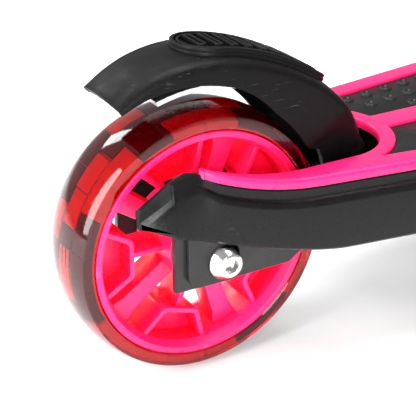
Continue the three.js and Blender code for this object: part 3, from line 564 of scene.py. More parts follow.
def drum_red():
    look = Look("core_red", (0.56, 0.004, 0.016), 0.5, Specular_IOR_Level=0.1)
    look.tint(look.noise(6, 3), 0.45, 0.62, (0.32, 0.003, 0.008))
    look.tint(look.cells(3.2), 0.05, 0.4, (0.66, 0.010, 0.022))
    return look.bump(look.noise(1.2, 3), 0.1, 0.4).material


def block_dark():
    look = Look("core_dark", (0.020, 0.003, 0.004), 0.5, Specular_IOR_Level=0.1)
    look.tint(look.noise(4, 3), 0.4, 0.7, (0.05, 0.006, 0.008))
    look.tint(look.noise(0.9, 2), 0.66, 0.74, (0.16, 0.05, 0.05))
    return look.bump(look.noise(0.7, 3), 0.08, 0.5).material


def studio_floor():
    look = Look("studio_floor", (0.93, 0.93, 0.93), 0.6, Specular_IOR_Level=0.2)
    look.tint(look.noise(300, 2), 0.3, 0.8, (0.905, 0.905, 0.91))
    return look.bump(look.noise(6, 3), 0.05, 0.1).material


CLEAR = clear_red()
# The hub's pink carries painted shade: deep red in its recesses.
HUB_PINK = moulded_pink("hub_pink", 0.30, (0.92, 0.001, 0.014))
DECK_PINK = moulded_pink("deck_pink", 0.30)
SHELL_BLACK = moulded_black("shell_black", 0.27, 0.5, 0.05, gloss=0.17)
FENDER_BLACK = moulded_black("fender_black", 0.42, 0.8, 0.10, (0.0026, 0.0026, 0.0028), 0.09)
PART_BLACK = moulded_black("moulded_black", 0.48, 0.6, 0.07)
RUBBER = black_rubber()
STEEL_BLACK = powder_coat("black_powder_coat", (0.004, 0.004, 0.004), (0.009, 0.009, 0.009), 0.42)
PAINT_PINK = powder_coat("pink_powder_coat", PINK, (0.94, 0.008, 0.105), 0.28)
CHROME = metal("chrome_plate", (0.70, 0.68, 0.67), (0.58, 0.56, 0.55), 0.14)
STEEL = metal("zinc_steel", (0.56, 0.56, 0.58), (0.46, 0.46, 0.48), 0.30)
ALUMINIUM = metal("satin_aluminium", (0.78, 0.79, 0.81), (0.70, 0.71, 0.73), 0.28, (1.0, 1.0, 0.06))
COPPER = metal("copper_strip", (0.95, 0.66, 0.24), (0.85, 0.50, 0.16), 0.35)
CORE_RED = drum_red()
CORE_DARK = block_dark()


# ---------- Wheels ----------


def centre_of(wheel, side):
    return (wheel["x"], wheel["y"] * side, wheel["radius"])


def tyre_piece(name, wheel, side, body, node):
    """A clear tyre: flat side walls, a crisp shoulder and a gently crowned tread."""
    r, half, rim = wheel["radius"], wheel["half"], wheel["rim"]
    wall = [(rim + 0.3, half - 0.5), (rim + 0.8, half), (r - 2.9, half), (r - 2.5, half - 0.15)]
    crown = [(r - 2.5 * (t**2.2), (half - 0.25) * t) for t in (0.97, 0.9, 0.8, 0.66, 0.5, 0.33, 0.16)]
    top = wall + crown + [(r, 0)]
    profile = top + [(a, -b) for a, b in reversed(top[:-1])]
    bm = bmesh.new()
    lathe(bm, profile, centre_of(wheel, side), 192)
    piece(finish_mesh(name, bm, 28), body, "tyre_red", CLEAR, node)


def wheel_block(bm, wheel, side, angle, arc_len, low_y, high_y, inner, outer, edge=0.35):
    """A rounded block on the drum inside the tyre, arc_len long round the wheel."""
    cx, cy, cz = centre_of(wheel, side)
    half = arc_len / 2
    turn = Matrix.Rotation(-angle, 3, "Y")

    def place(u, v, w):
        bend = w * math.cos(u / outer)
        p = turn @ Vector((bend, v, outer * math.sin(u / outer)))
        return (cx + p.x, cy + p.y, cz + p.z)

    loop = [(-half, low_y), (0, low_y), (half, low_y), (half, high_y), (0, high_y), (-half, high_y)]
    rings = soft_rings(flat(outer), flat(inner), edge, 0.05, 2)
    slab(bm, [loop], lambda i: rings, place)


def core_pieces(prefix, wheel, side, body):
    """The red drum and the staggered dark blocks that show through the clear tyre."""
    rim, half = wheel["rim"], wheel["hub_half"]
    near, far, end = rim + 0.25, rim + 1.3, half - 0.7
    band = [(near, -end), (far, -end), (far, end), (near, end)]
    drum = turned_piece(prefix + "_core_drum", band, centre_of(wheel, side), 120, 0.2)
    piece(drum, body, "tyre_red", CORE_RED)
    dark, red = bmesh.new(), bmesh.new()
    step = 2 * math.pi / wheel["blocks"]
    lane = (2 * half - 1.2) / wheel["lanes"]
    for i in range(wheel["blocks"]):
        for k in range(wheel["lanes"]):
            low = -half + 0.6 + lane * k
            long = (rim + 3) * step * rng.uniform(0.93, 1.0)
            outer = rim + rng.uniform(3.4, 4.2)
            angle = step * (i + 0.5 * (k % 2)) + rng.uniform(-0.01, 0.01)
            chosen = dark if rng.random() < (0.62 if (i + k) % 2 == 0 else 0.3) else red
            high = rng.choice((0.25, 0.4, 0.8))
            wheel_block(chosen, wheel, side, angle, long, low + 0.2, low + lane - high, rim + 0.9, outer)
    piece(finish_mesh(prefix + "_core_dark", dark), body, "light_module", CORE_DARK)
    piece(finish_mesh(prefix + "_core_red", red), body, "tyre_red", CORE_RED)


def rotated(points, centre, angle):
    c, s = math.cos(angle), math.sin(angle)
    return [(centre[0] + x * c - z * s, centre[2] + x * s + z * c) for x, z in points]


def hub_piece(name, wheel, side, body, *nodes):
    """The spoked plastic hub: ring, lips, spokes, pocket ridges with their floors, and the bearing boss."""
    centre = centre_of(wheel, side)
    middle = centre[1]
    rim, half, boss = wheel["rim"], wheel["hub_half"], wheel["boss"]
    floor = rim - 1.8
    under = floor - 2.0
    lip, bed, bottom = half + 0.1, half - 2.4, half - 3.2
    ring = [
        (floor, -bed), (floor, bed), (rim, bed), (rim, lip), (rim - 2.3, lip),
        (under, bottom), (under, -bottom), (rim - 2.3, -lip), (rim, -lip), (rim, -bed),
    ]
    hub = turned_piece(name, ring, centre, 128, 0.4)
    seat = half - 8.1
    pocket, bore = 11.3, 9.2
    core = [
        (boss, -half), (boss, half), (pocket, half), (pocket, seat),
        (bore, seat), (bore, -seat), (pocket, -seat), (pocket, -half),
    ]
    parts = [turned_piece("boss", core, centre, 64, 0.6)]
    pitch = 2 * math.pi / wheel["spokes"]
    crest = under - 12.5
    foot = under + 0.8
    spoke = [(boss - 2, -3.6), (boss + 4, -3.2), (under - 5, -3.8), (under + 1, -5.6),
             (under + 1, 5.6), (under - 5, 3.8), (boss + 4, 3.2), (boss - 2, 3.6)]
    ridge = fillet([(foot, -15), (crest, -7.2), (crest, 7.2), (foot, 15)], 3.0, closed=False)
    hollow = fillet([(foot, -12.6), (crest + 2, -6.0), (crest + 2, 6.0), (foot, 12.6)], 2.2, closed=False)
    web = [(boss - 1, -1.1), (crest + 1, -1.1), (crest + 1, 1.1), (boss - 1, 1.1)]
    shapes = (
        (fillet(spoke, 2), 0, 5.5, 0.7),
        (ridge + hollow[::-1], pitch / 2, 9.6, 0.6),
        (ridge, pitch / 2, 1.2, 0.2),
        (web, pitch / 2, 7, 0.4),
    )
    for i in range(wheel["spokes"]):
        for outline, turn, reach, edge in shapes:
            turned = rotated(outline, centre, pitch * i + turn)
            parts.append(plate_object("hub_part", [turned], middle - reach, middle + reach, edge))
    combine(hub, parts, "UNION")
    piece(hub, body, "pink_plastic", HUB_PINK, *nodes)


def bearing_piece(node, body):
    """A shielded ball bearing: two races with a dished shield between them."""
    low, high = node_box(node)
    centre = ((low.x + high.x) / 2, 0, (low.z + high.z) / 2)
    a, b = low.y, high.y
    outer, bore = (high.x - low.x) / 2, 4.2
    profile = [
        (outer, a), (outer, b), (outer - 1.6, b),
        (outer - 1.9, b - 0.45), (bore + 2.3, b - 0.35), (bore + 2.0, b),
        (bore, b), (bore, a), (bore + 2.0, a),
        (bore + 2.3, a + 0.35), (outer - 1.9, a + 0.45), (outer - 1.6, a),
    ]
    piece(turned_piece(node + "_fine", profile, centre, 64, 0.25), body, "plain_steel", STEEL, node)


def light_module(node, body):
    """A dark coil block with copper strips, moulded into the tyre."""
    low, high = node_box(node)
    centre = (low + high) / 2
    angle = math.atan2(centre.z - REAR["radius"], centre.x)
    rim = REAR["rim"]
    bm = bmesh.new()
    wheel_block(bm, REAR, 1, angle, 17.6, -6, 6, rim - 3.5, rim + 1.4, 0.5)
    wheel_block(bm, REAR, 1, angle, 14.0, -5.2, 5.2, rim + 1.0, rim + 3.6, 0.5)
    piece(finish_mesh(node + "_case", bm), body, "light_module", CORE_DARK, node)
    bm = bmesh.new()
    for lane in (-3.4, -1.1, 1.2):
        wheel_block(bm, REAR, 1, angle, 12.4, lane, lane + 1.5, rim + 3.4, rim + 4.3, 0.2)
    piece(finish_mesh(node + "_strips", bm), body, "light_module", COPPER)


def rear_wheel():
    tyre_piece("rear_tyre_clear", REAR, 1, "rear_wheel", "rear_tyre")
    core_pieces("rear", REAR, 1, "rear_wheel")
    hub_piece("rear_hub_fine", REAR, 1, "rear_wheel", "rear_hub")
    for side in ("left", "right"):
        bearing_piece(f"rear_bearing_{side}", "rear_wheel")
    for i in (1, 2, 3):
        light_module(f"rear_light_module_{i}", "rear_wheel")


def front_wheels():
    for side, sign in (("left", 1), ("right", -1)):
        body = f"front_wheel_{side}"
        tyre_piece(f"front_tyre_clear_{side}", FRONT, sign, body, f"front_tyre_{side}")
        core_pieces(f"front_{side}", FRONT, sign, body)
        hub_piece(f"front_hub_fine_{side}", FRONT, sign, body, f"front_hub_{side}")
        for place in ("outer", "inner"):
            bearing_piece(f"front_bearing_{place}_{side}", body)


# ---------- Axle bolt and plates ----------


def axle_head(name, node, sign):
    """A cone-shaped head with a six-sided socket, and 3 mm of shank behind it."""
    z = REAR["radius"]
    base = 25.9
    face = base + 4.7
    back = base - 3
    profile = [(0.0, back), (4.0, back), (4.0, base), (6.65, base + 0.05), (6.6, base + 0.9),
               (4.4, face - 0.35), (3.7, face), (0.0, face)]
    profile = [(r, y * sign) for r, y in profile]
    bm = bmesh.new()
    lathe(bm, fillet(profile, 0.35, closed=False), (0, 0, z), 64)
    head = finish_mesh(name, bm, 30)
    low, high = sorted((sign * (face - 2.6), sign * (face + 1)))
    socket = plate_object("socket", [arc((0, z), 2.9, 12, 312, 5)], low, high, 0.05, 20)
    combine(head, [socket], "DIFFERENCE", 30)
    piece(head, "deck", "chrome", CHROME, node)


def dropouts():
    """The cover plates outside the chassis' own dropout plates, which hold the axle."""
    outline = [(-14, 63), *arc((-9, 47), 5, 180, 270, 5), (3, 42), (4.5, 42.3), (25.6, 55.2), (26, 63)]
    bore = arc((0, 50), 4.3, 0, 345, 23)
    inner, outer = 23.9, 25.9
    for side, sign in (("left", 1), ("right", -1)):
        low, high = sorted((sign * inner, sign * outer))
        cover = plate_object(f"dropout_cover_{side}", [outline, bore], low, high, 0.35)
        piece(cover, "deck", "black_steel", STEEL_BLACK, f"dropout_plate_{side}")


# ---------- Deck ----------


def straight_half(x):
    return SIDE_AT_100 + SIDE_SLOPE * (x - 100)


def shell_half(x):
    """Half the deck's width at x."""
    if x <= STRAIGHT_TO:
        return straight_half(x)
    if x <= WIDEST_AT:
        t = (x - STRAIGHT_TO) / (WIDEST_AT - STRAIGHT_TO)
        start = straight_half(STRAIGHT_TO)
        return start + (WIDEST - start) * (2 * t - t * t)
    t = min(1.0, (x - WIDEST_AT) / (NOSE - WIDEST_AT))
    return NOSE_HALF + (WIDEST - NOSE_HALF) * math.sqrt(max(0.0, 1 - t**2.6))


def top_at(x):
    """The deck's top surface: level, then sweeping up along the two arms of the tail."""
    t = min(1.0, max(0.0, (RISE_FROM - x) / (RISE_FROM - RISE_TO)))
    return DECK_TOP + TAIL_RISE * t * t


def spread(start, end, count):
    return [start + (end - start) * i / count for i in range(count + 1)]


def side_line(start_x, narrow):
    """The deck's left edge from start_x to the nose, brought in by an inset."""
    xs = spread(start_x, 60, 18) + spread(60, 300, 40)[1:] + spread(300, NOSE - narrow - 1.5, 18)[1:]
    return [(x, shell_half(x) - narrow) for x in xs]


def slot_line(start_x):
    """The wheel slot's edge, from the left tail round its end to the right tail."""
    left = [(x, WELL_HALF) for x in spread(start_x, WELL_END, 24)[:-1]]
    return left + arc((WELL_END, 0), WELL_HALF, 90, -90, 36) + [(x, -y) for x, y in reversed(left)]


def u_outline(start, narrow):
    """The deck's plan, a long U that is open behind for the wheel. start lists its left tail's points."""
    left = start + side_line(start[-1][0] + 3, narrow) + [(NOSE - narrow, shell_half(NOSE - 6) - narrow - 9)]
    outer = left + [(x, -y) for x, y in reversed(left)]
    return outer + slot_line(start[0][0])[::-1]


def window_outline(gap):
    """The left window in the trim, or with a gap the pad that lies in it."""
    edge = TRIM["inset"] + TRIM["border"] + gap
    reach = WELL_HALF + TRIM["collar"] + gap
    spine = TRIM["spine"] + gap
    start = WELL_END + math.sqrt(reach**2 - spine**2)
    corner = next(x for x in spread(56, 90, 340) if math.hypot(x - WELL_END, shell_half(x) - edge) > reach)
    round_end = math.degrees(math.atan2(shell_half(corner) - edge, corner - WELL_END))
    round_start = math.degrees(math.atan2(spine, start - WELL_END))
    collar = arc((WELL_END, 0), reach, round_start, round_end, 16)
    xs = spread(corner + 2, 300, 40) + spread(300, NOSE - edge - 3, 14)[1:]
    outer = [(x, shell_half(x) - edge) for x in xs if shell_half(x) - edge > spine + 3]
    end_x = outer[-1][0] + 2
    return collar + outer + [(end_x, outer[-1][1] - 4), (end_x, spine)]


def mirror(loop):
    return [(x, -y) for x, y in loop]


def deck_trim():
    """The pink frame: border, spine and the collar round the wheel slot, with its outer top edge bevelled."""
    tip = TRIM["tip"]
    start = [(tip, WELL_HALF), (tip - 0.2, 25.5), (tip + 1, shell_half(tip) - TRIM["inset"] - 1)]
    outline = u_outline(start, TRIM["inset"])
    window = fillet(window_outline(0), 2.5, 4)
    thickness = TRIM["thickness"]

    def rings(i):
        edge = 1.5 if i == 0 else 0.7
        return soft_rings(lambda p: top_at(p.x), lambda p: top_at(p.x) - thickness, edge, 0.2, 4)

    bm = bmesh.new()
    slab(bm, [outline, window, mirror(window)], rings, straight_up)
    piece(finish_mesh("deck_trim", bm, 30), "deck", "pink_plastic", DECK_PINK, "deck_frame")


def low_edge(x):
    """The shell's lower edge: a curve down from the tail tip to the level bottom."""
    t = min(1.0, max(0.0, (x - TAIL) / (RISE_FROM + 10 - TAIL)))
    return DECK_BOTTOM + 22 * (1 - t) ** 1.5


def deck_shell():
    """The black shell: a narrow recess under the trim, then a tall facet down to the lower edge.

    It is open below. Its first ring and its last both lie at the top.
    """
    thickness = TRIM["thickness"]
    start = [(TAIL, WELL_HALF + 0.4), (TAIL, TAIL_HALF + 1.2), (-20, 29.4),
             (CHAMFER_END, shell_half(CHAMFER_END))]
    outline = u_outline(fillet(start, 2, 3, closed=False), 0)
    side = wound(outline, True)
    slot_edge = WELL_HALF + 0.6

    def is_slot(p):
        return p.x < WELL_END + WELL_HALF + 1 and (
            abs(p.y) < slot_edge if p.x < WELL_END else math.hypot(p.x - WELL_END, p.y) < slot_edge)

    def tail_blend(x):
        return min(1.0, max(0.0, (x - TAIL - 12) / 16))

    def top(p):
        x = p.x
        cover = 1 - tail_blend(x)
        level = top_at(max(x, RISE_TO)) - (thickness + 0.25) * (1 - cover)
        return level - cover * max(0.0, -14 - x) * 0.62

    def ring_points(distance, drop_share, drop):
        """One ring, brought in by a distance that fades at the tail where drop_share is 1.

        It lies drop below the top, or where drop is negative that far above the lower edge.
        """
        points = []
        moved = inset(side, 1.0)
        for p, m in zip(side, moved):
            share = 0.0 if is_slot(p) else tail_blend(p.x) * drop_share + (1 - drop_share)
            q = p + (m - p) * distance * share
            low = low_edge(p.x)
            high = top(p)
            z = max(high - drop if drop >= 0 else low - drop, low + 0.01)
            if not is_slot(p):
                lean = min(0.3 * (z - low) * (1 - tail_blend(p.x)), abs(p.y) - WELL_HALF - 1.0)
                q = q + (m - p) * max(0.0, lean)
            points.append((q.x, q.y, z))
        return points

    stack = [
        (3.2, 0, 0.0), (1.2, 0, -0.25), (0.25, 0, -1.2), (0.0, 0, -2.2),
        (0.0, 1, 6.6), (0.25, 1, 5.4), (1.0, 1, 4.5), (2.4, 1, 4.1),
        (2.8, 1, 3.7), (2.8, 1, 0.6), (3.3, 1, 0.0),
    ]
    bm = bmesh.new()
    rows = []
    for distance, share, drop in stack:
        rows.append([bm.verts.new(p) for p in ring_points(distance, share, drop)])
    for low, high in zip(rows, rows[1:]):
        for k in range(len(side)):
            n = (k + 1) % len(side)
            bm.faces.new((low[k], low[n], high[n], high[k]))
    for row, flip in ((rows[0], True), (rows[-1], False)):
        for tri in cap_faces([[Vector((v.co.x, v.co.y)) for v in row]]):
            face = [row[i] for i in tri]
            if len(set(face)) == 3 and bm.faces.get(face) is None:
                bm.faces.new(face[::-1] if flip else face)
    shell = finish_mesh("deck_shell_fine", bm, 30)
    piece(shell, "deck", "black_plastic", SHELL_BLACK, "deck_shell")


def ring_bump(bm, x, y, z):
    """A raised ring with a dimple, about 6 mm across."""
    profile = [(0.0, 0.25), (0.7, 0.3), (1.25, 0.75), (1.8, 0.9),
               (2.4, 0.7), (2.8, 0.2), (3.0, -0.3), (0.0, -0.3)]
    segments = 20
    rows = []
    for i in range(segments):
        a = 2 * math.pi * i / segments
        rows.append([bm.verts.new((x + r * math.cos(a), y + r * math.sin(a), z + h)) for r, h in profile])
    for i in range(segments):
        a, b = rows[i], rows[(i + 1) % segments]
        for k in range(len(profile) - 1):
            bm.faces.new((a[k], b[k], b[k + 1], a[k + 1]))


def grip_pads():
    """The two sunk rubber pads with staggered rows of ring bumps that follow the deck's edge."""
    top = DECK_TOP - 1.0
    pitch, row = 10.8, 9.3
    for side, sign in (("left", 1), ("right", -1)):
        loop = fillet(window_outline(0.15), 2.3, 4)
        bm = bmesh.new()
        outline = loop if sign > 0 else mirror(loop)
        plate(bm, [outline], DECK_TOP - TRIM["thickness"], top, 0.3, straight_up)
        room = inset(wound(loop, True), 3.9)
        for k in range(7):
            for i in range(30):
                x = 66 + pitch * i + (pitch / 2 if k % 2 else 0)
                y = shell_half(min(x, 200)) - TRIM["inset"] - TRIM["border"] - 4.7 - row * k
                if inside(Vector((x, y)), room):
                    ring_bump(bm, x, sign * y, top)
        bmesh.ops.remove_doubles(bm, verts=bm.verts[:], dist=1e-4)
        pad = finish_mesh(f"grip_pad_fine_{side}", bm, 50)
        piece(pad, "deck", "black_rubber", RUBBER, f"grip_pad_{side}")


# ---------- Foot brake ----------

CROWN = [(-33, 108), (-27, 112.4), (-20, 116), (-12, 118.2), (-4, 119.2), (6, 119), (18, 116.6), (30, 112.4),
         (42, 106.4), (52, 99.4), (60, 91.4), (66, 82), (69.6, 72), (70.6, 63), (69.5, 57)]


def smooth_path(points, count):
    """Points at even steps on a smooth curve through the given ones, each with its direction."""
    spline = []
    padded = [points[0], *points, points[-1]]
    for i in range(len(points) - 1):
        p0, p1, p2, p3 = (Vector(q) for q in padded[i : i + 4])
        for k in range(12):
            t = k / 12
            spline.append(0.5 * (2 * p1 + (p2 - p0) * t + (2 * p0 - 5 * p1 + 4 * p2 - p3) * t**2
                                 + (3 * p1 - p0 - 3 * p2 + p3) * t**3))
    spline.append(Vector(points[-1]))
    lengths = [0.0]
    for a, b in zip(spline, spline[1:]):
        lengths.append(lengths[-1] + (b - a).length)
    out = []
    for i in range(count + 1):
        target = lengths[-1] * i / count
        j = max(k for k in range(len(lengths)) if lengths[k] <= target + 1e-9)
        j = min(j, len(spline) - 2)
        t = (target - lengths[j]) / max(1e-9, lengths[j + 1] - lengths[j])
        out.append((spline[j].lerp(spline[j + 1], t), (spline[j + 1] - spline[j]).normalized(), target))
    return out


def between(value, table):
    """Straight-line reading of a short table of (position, value)."""
    if value <= table[0][0]:
        return table[0][1]
    for (a, x), (b, y) in zip(table, table[1:]):
        if value <= b:
            return x + (y - x) * (value - a) / (b - a)
    return table[-1][1]


def fender():
    """The arched mudguard that is also the foot brake: a crowned top with narrowing side flanges."""
    widths = [(-33, 14.2), (10, 16.4), (58, 16.6), (66, 13.5), (72, 10.5)]
    reaches = [(20, 53.4), (32, 53.0), (37, 49.4), (47, 50.5), (60, 52.2),
               (70, 55.5), (80, 58.4), (95, 61), (110, 63), (120, 63.4)]
    flange_steps = 5
    bm = bmesh.new()
    rows = []
    for point, _, _ in smooth_path(CROWN, 64):
        dx, dz = point.x, point.y - REAR["radius"]
        radius = math.hypot(dx, dz)
        angle = math.atan2(dz, dx)
        half = between(point.x, widths) if dz > 8 else 10.5
        reach = between(math.degrees(angle), reaches)
        depth = max(2.6, radius - reach)
        shoulder = min(4.6, depth * 0.75)
        section = []
        for t in (0.0, 0.2, 0.4, 0.55, 0.68):
            section.append((half * t, 1.1 * (t / 0.68) ** 2.2))
        for k in range(1, 7):
            a = math.pi / 2 * k / 6
            section.append((half * (0.68 + 0.31 * math.sin(a)), 1.1 + (shoulder - 1.1) * (1 - math.cos(a))))
        for k in range(1, flange_steps + 1):
            t = k / flange_steps
            section.append((half * (0.99 + 0.01 * t), shoulder + (depth - shoulder) * t))
        full = [(-y, d) for y, d in reversed(section[1:])] + section
        rows.append([
            bm.verts.new((
                (radius - d) * math.cos(angle),
                y,
                REAR["radius"] + (radius - d) * math.sin(angle),
            )) for y, d in full
        ])
    for a, b in zip(rows, rows[1:]):
        for k in range(len(a) - 1):
            bm.faces.new((a[k], a[k + 1], b[k + 1], b[k]))
    shell = finish_mesh("brake_fender_fine", bm, 60)
    thick = shell.modifiers.new("wall", "SOLIDIFY")
    thick.thickness = 2.4 * MM
    thick.offset = -1
    round_edges(shell, 1.0, 3, 60)
    smooth(shell.data, 50)
    piece(shell, "brake", "black_plastic", FENDER_BLACK, "brake_fender")
    barrel = [(2.9, -16), (6.5, -16), (6.5, -6.6), (2.9, -6.6)]
    for side, sign in (("left", -1), ("right", 1)):
        profile = [(r, y * sign) for r, y in barrel]
        ring = turned_piece(f"brake_barrel_{side}", profile, (PIVOT[0], 0, PIVOT[1]), 40, 0.5)
        piece(ring, "brake", "black_plastic", FENDER_BLACK)
    bm = bmesh.new()
    lower = arc((0, REAR["radius"]), 58.4, 74, 106, 10)
    upper = [(x, z - 2.4) for x, z in CROWN if -16 < x < 16]
    for y in (-7.5, -0.8, 5.9):
        plate(bm, [lower + upper], y, y + 1.6, 0.2)
    strap = [(60, 60), (66, 60), (68, 74), (64, 80), (62.5, 74)]
    plate(bm, [strap], -12, 12, 0.4)
    piece(finish_mesh("brake_ribs", bm), "brake", "black_plastic", FENDER_BLACK)


def foot_pad():
    """The raised pad on the crown: a base, a double rim and a row of cross bars."""
    path = smooth_path(CROWN, 240)
    first = next(s for p, _, s in path if p.x > -6)
    last = next(s for p, _, s in path if p.x > 53)

    def bend(u, v, w):
        i = min(range(len(path)), key=lambda k: abs(path[k][2] - u))
        point, along, s = path[i]
        point = point + along * (u - s)
        drop = 0.9 * (abs(v) / 11.5) ** 2.2
        return (point.x - along.y * (w - drop), v, point.y + along.x * (w - drop))

    def add(loops, low, high, edge):
        rings = soft_rings(flat(high), flat(low), edge, 0.1, 2)
        slab(bm, loops, lambda i: rings, bend)

    def fine(low, high, half):
        """A stadium outline with points along its straight sides, so that it can bend."""
        straight = spread(low + half, high - half, 22)
        return (arc((high - half, 0), half, -90, 90, 10) + [(u, half) for u in reversed(straight[1:-1])]
                + arc((low + half, 0), half, 90, 270, 10) + [(u, -half) for u in straight[1:-1]])

    def cross(u, half, reach, radius, steps):
        corners = [(u - half, -reach), (u + half, -reach), (u + half, reach), (u - half, reach)]
        return fillet(corners, radius, steps)

    bm = bmesh.new()
    add([fine(first, last, 11.5)], -0.6, 1.1, 0.4)
    add([fine(first + 0.5, last - 0.5, 11.0), fine(first + 1.9, last - 1.9, 9.6)], 0.9, 2.3, 0.4)
    add([fine(first + 2.7, last - 2.7, 8.8), fine(first + 3.6, last - 3.6, 7.9)], 0.9, 1.9, 0.3)
    bars = 9
    for i in range(bars):
        u = first + 8.5 + (last - first - 17) * i / (bars - 1)
        reach = 6.4 if i in (0, bars - 1) else 7.2
        add([cross(u, 1.7, reach, 1.5, 4), cross(u, 0.6, reach - 1.3, 0.5, 3)], 0.9, 2.2, 0.3)
    piece(finish_mesh("brake_foot_pad_fine", bm), "brake", "black_rubber", FENDER_BLACK, "brake_foot_pad")


def brake_spring():
    """The torsion coil round the hinge pin, with its two legs."""
    curve = bpy.data.curves.new("brake_coil", "CURVE")
    curve.dimensions = "3D"
    curve.bevel_depth = 0.8 * MM
    curve.bevel_resolution = 3
    turns, steps, radius, half = 4, 96, 4.4, 4.6
    points = [(-5.0, -half, radius)]
    for i in range(steps + 1):
        a = math.pi / 2 + 2 * math.pi * turns * i / steps
        points.append((radius * math.cos(a), -half + 2 * half * i / steps, radius * math.sin(a)))
    points.append((-5.0, half, radius))
    spline = curve.splines.new("POLY")
    spline.points.add(len(points) - 1)
    for target, (x, y, z) in zip(spline.points, points):
        target.co = (*world(PIVOT[0] + x, y, PIVOT[1] + z), 1)
    holder = new_object("brake_coil_curve", curve)
    bpy.context.view_layer.update()
    mesh = bpy.data.meshes.new_from_object(holder.evaluated_get(bpy.context.evaluated_depsgraph_get()))
    bpy.data.objects.remove(holder)
    coil = new_object("brake_coil", mesh)
    for face in mesh.polygons:
        face.use_smooth = True
    piece(coil, "deck", "plain_steel", STEEL, "brake_spring")


# ---------- Column and handlebar ----------


def on_column(obj):
    """Turns a piece made about an upright column at the origin onto the real column's line."""
    base = world(COLUMN_BASE[0], 0, COLUMN_BASE[1])
    obj.data.transform(Matrix.Translation(base) @ Matrix.Rotation(-COLUMN_TILT, 4, "Y")
                       @ Matrix.Translation((-ORIGIN_X, 0, 0)))
    return obj


def upright(name, profiles, edge):
    """Profiles of (radius, height) turned about the column's line, as one object."""
    bm = bmesh.new()
    for profile in profiles:
        lathe(bm, fillet(profile, edge), (0, 0, 0), 72)
    bmesh.ops.rotate(bm, verts=bm.verts[:], cent=(0, 0, 0), matrix=Matrix.Rotation(math.pi / 2, 3, "X"))
    return on_column(finish_mesh(name, bm))


def column():
    lower = [(14.6, 0.3), (17, 0.3), (17, 330.3), (14.6, 330.3)]
    piece(upright("column_lower", [lower], 0.5), "deck", "pink_paint", PAINT_PINK, "lower_tube")
    upper = [(12.3, 190), (14.3, 190), (14.3, 632), (12.3, 632)]
    piece(upright("column_upper", [upper], 0.5), "handlebar", "bare_aluminium", ALUMINIUM, "upper_tube")
    inner, outer, width = 14.25, 14.42, 1.0
    marks = [[(inner, z), (outer, z), (outer, z + width), (inner, z + width)] for z in range(386, 531, 36)]
    piece(upright("height_rings", marks, 0.05), "handlebar", "black_plastic", PART_BLACK)


def bar_piece(name, profile, segments):
    return on_column(turned_piece(name, profile, (0, 0, BAR_UP), segments, 0.5))


def handlebar():
    tube = [(9, -130), (11, -130), (11, 130), (9, 130)]
    piece(bar_piece("handlebar_fine", tube, 72), "handlebar", "pink_paint", PAINT_PINK, "handlebar_tube")
    for side, sign in (("left", 1), ("right", -1)):
        profile = [(11.3, 38), (18.6, 38), (19, 39), (19, 41), (18.4, 42)]
        ribs = 17
        for i in range(ribs):
            y = 45 + 4.3 * i
            waist = 1.1 * math.sin(math.pi * i / (ribs - 1))
            low, high = 14.5 - waist, 15.4 - waist
            profile += [(low, y), (high, y + 0.9), (high, y + 2.6), (low, y + 3.4)]
        profile += [(15.0, 121), (17.6, 124), (18, 126), (18, 131),
                    (16.4, 134), (0.01, 134), (0.01, 130.4), (11.3, 130.4)]
        grip = bar_piece(f"grip_fine_{side}", [(r, y * sign) for r, y in profile], 64)
        piece(grip, "handlebar", "black_rubber", RUBBER, f"grip_{side}")


# ---------- Carried-over parts ----------


def other_parts():
    """The remaining CAD parts, with rounded edges where they have any size."""
    moulded = ("black_plastic", PART_BLACK)
    coated = ("black_steel", STEEL_BLACK)
    zinc = ("plain_steel", STEEL)
    rubber = ("black_rubber", RUBBER)
    for node, body, (slot, material), edge in (
        ("steering_head", "deck", moulded, 1.2),
        ("truck_beam", "truck", moulded, 1.0),
        ("clamp_collar", "deck", moulded, 0.8),
        ("clamp_lever", "clamp_lever", moulded, 1.0),
        ("tee_joint", "handlebar", moulded, 0.9),
        ("knuckle_left", "steering_left", coated, 0.4),
        ("knuckle_right", "steering_right", coated, 0.4),
        ("tie_rod", "tie_rod", zinc, 0.5),
        ("lean_bumper_left", "truck", rubber, 0.7),
        ("lean_bumper_right", "truck", rubber, 0.7),
        ("belly_cover", "deck", moulded, 0.4),
        ("head_bolt_1", "deck", zinc, 0.4),
        ("head_bolt_2", "deck", zinc, 0.4),
        ("front_axle_nut_left", "steering_left", zinc, 0.4),
        ("front_axle_nut_right", "steering_right", zinc, 0.4),
        ("kingpin_left", "truck", zinc, 0.4),
        ("kingpin_right", "truck", zinc, 0.4),
    ):
        refined(node, body, slot, material, edge)
    screws = [f"belly_screw_{i}" for i in (1, 2, 3, 4)]
    pins = ["brake_pin", "brake_wear_plate", "lean_pin", "clamp_bolt"]
    spacers = ["rear_bearing_spacer", "rear_spacer_left", "rear_spacer_right"]
    for node in ["chassis", *spacers, *screws, *pins]:
        slots = frame["nodes"][node].data.materials
        slots.clear()
        slots.append(STEEL_BLACK if node == "chassis" else STEEL)


# ---------- Studio ----------


def area_light(name, position, target, size, power):
    light = bpy.data.lights.new(name, "AREA")
    light.shape = "RECTANGLE"
    light.size, light.size_y = size
    light.energy = power
    obj = new_object(name, light)
    obj.location = position
    obj.rotation_euler = (Vector(target) - Vector(position)).to_track_quat("-Z", "Y").to_euler()


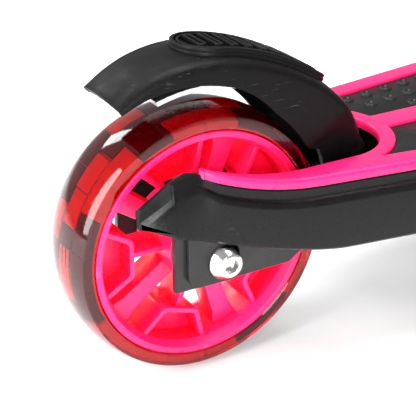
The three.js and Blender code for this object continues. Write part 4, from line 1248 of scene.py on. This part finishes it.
def studio():
    bm = bmesh.new()
    lift, reach = -0.2, 6000
    corners = ((-reach, -reach), (reach, -reach), (reach, reach), (-reach, reach))
    bm.faces.new([bm.verts.new((x, y, lift)) for x, y in corners])
    floor = finish_mesh("studio_floor", bm)
    floor.data.materials.append(studio_floor())
    background = bpy.data.worlds.new("studio")
    background.use_nodes = True
    sky = background.node_tree.nodes["Background"].inputs
    sky["Color"].default_value = (1, 1, 1, 1)
    sky["Strength"].default_value = 0.5
    bpy.context.scene.world = background
    wheel = world(0, 0, 60)
    area_light("overhead", world(120, 100, 900), wheel, (0.8, 0.5), 11)
    area_light("left_box", world(-800, 150, 420), wheel, (0.3, 0.8), 9)
    area_light("rear_strip", world(-760, -200, 300), wheel, (0.10, 0.55), 5)
    area_light("near_strip", world(-240, -760, 160), wheel, (0.10, 0.35), 5)
    area_light("near_box", world(-350, -800, 520), wheel, (0.6, 0.35), 6)
    area_light("far_box", world(-200, 760, 640), wheel, (0.16, 0.4), 2.5)


def camera():
    """A long lens at the wheel, level, from behind and to the right."""
    azimuth, elevation = math.radians(-30.0), math.radians(26.2)
    distance, across, up_shift, lens = 409.5, -7.05, -8.2, 98.6
    level = math.cos(elevation)
    back = Vector((math.sin(azimuth) * level, -math.cos(azimuth) * level, math.sin(elevation)))
    right = Vector((math.cos(azimuth), math.sin(azimuth), 0))
    up = back.cross(right)
    data = bpy.data.cameras.new("camera")
    data.lens = lens
    data.sensor_width = 36
    data.clip_start = 0.01
    eye = new_object("camera", data)
    spot = back * distance - right * across - up * up_shift
    eye.location = world(spot.x, spot.y, spot.z + REAR["radius"])
    eye.rotation_euler = Matrix((right, up, back)).transposed().to_euler()
    bpy.context.scene.camera = eye


rear_wheel()
front_wheels()
axle_head("rear_axle_bolt_fine", "rear_axle_bolt", -1)
axle_head("rear_axle_nut_fine", "rear_axle_nut", 1)
dropouts()
deck_trim()
deck_shell()
grip_pads()
fender()
foot_pad()
brake_spring()
column()
handlebar()
other_parts()
studio()
camera()
bpy.context.scene.view_settings.view_transform = "Standard"
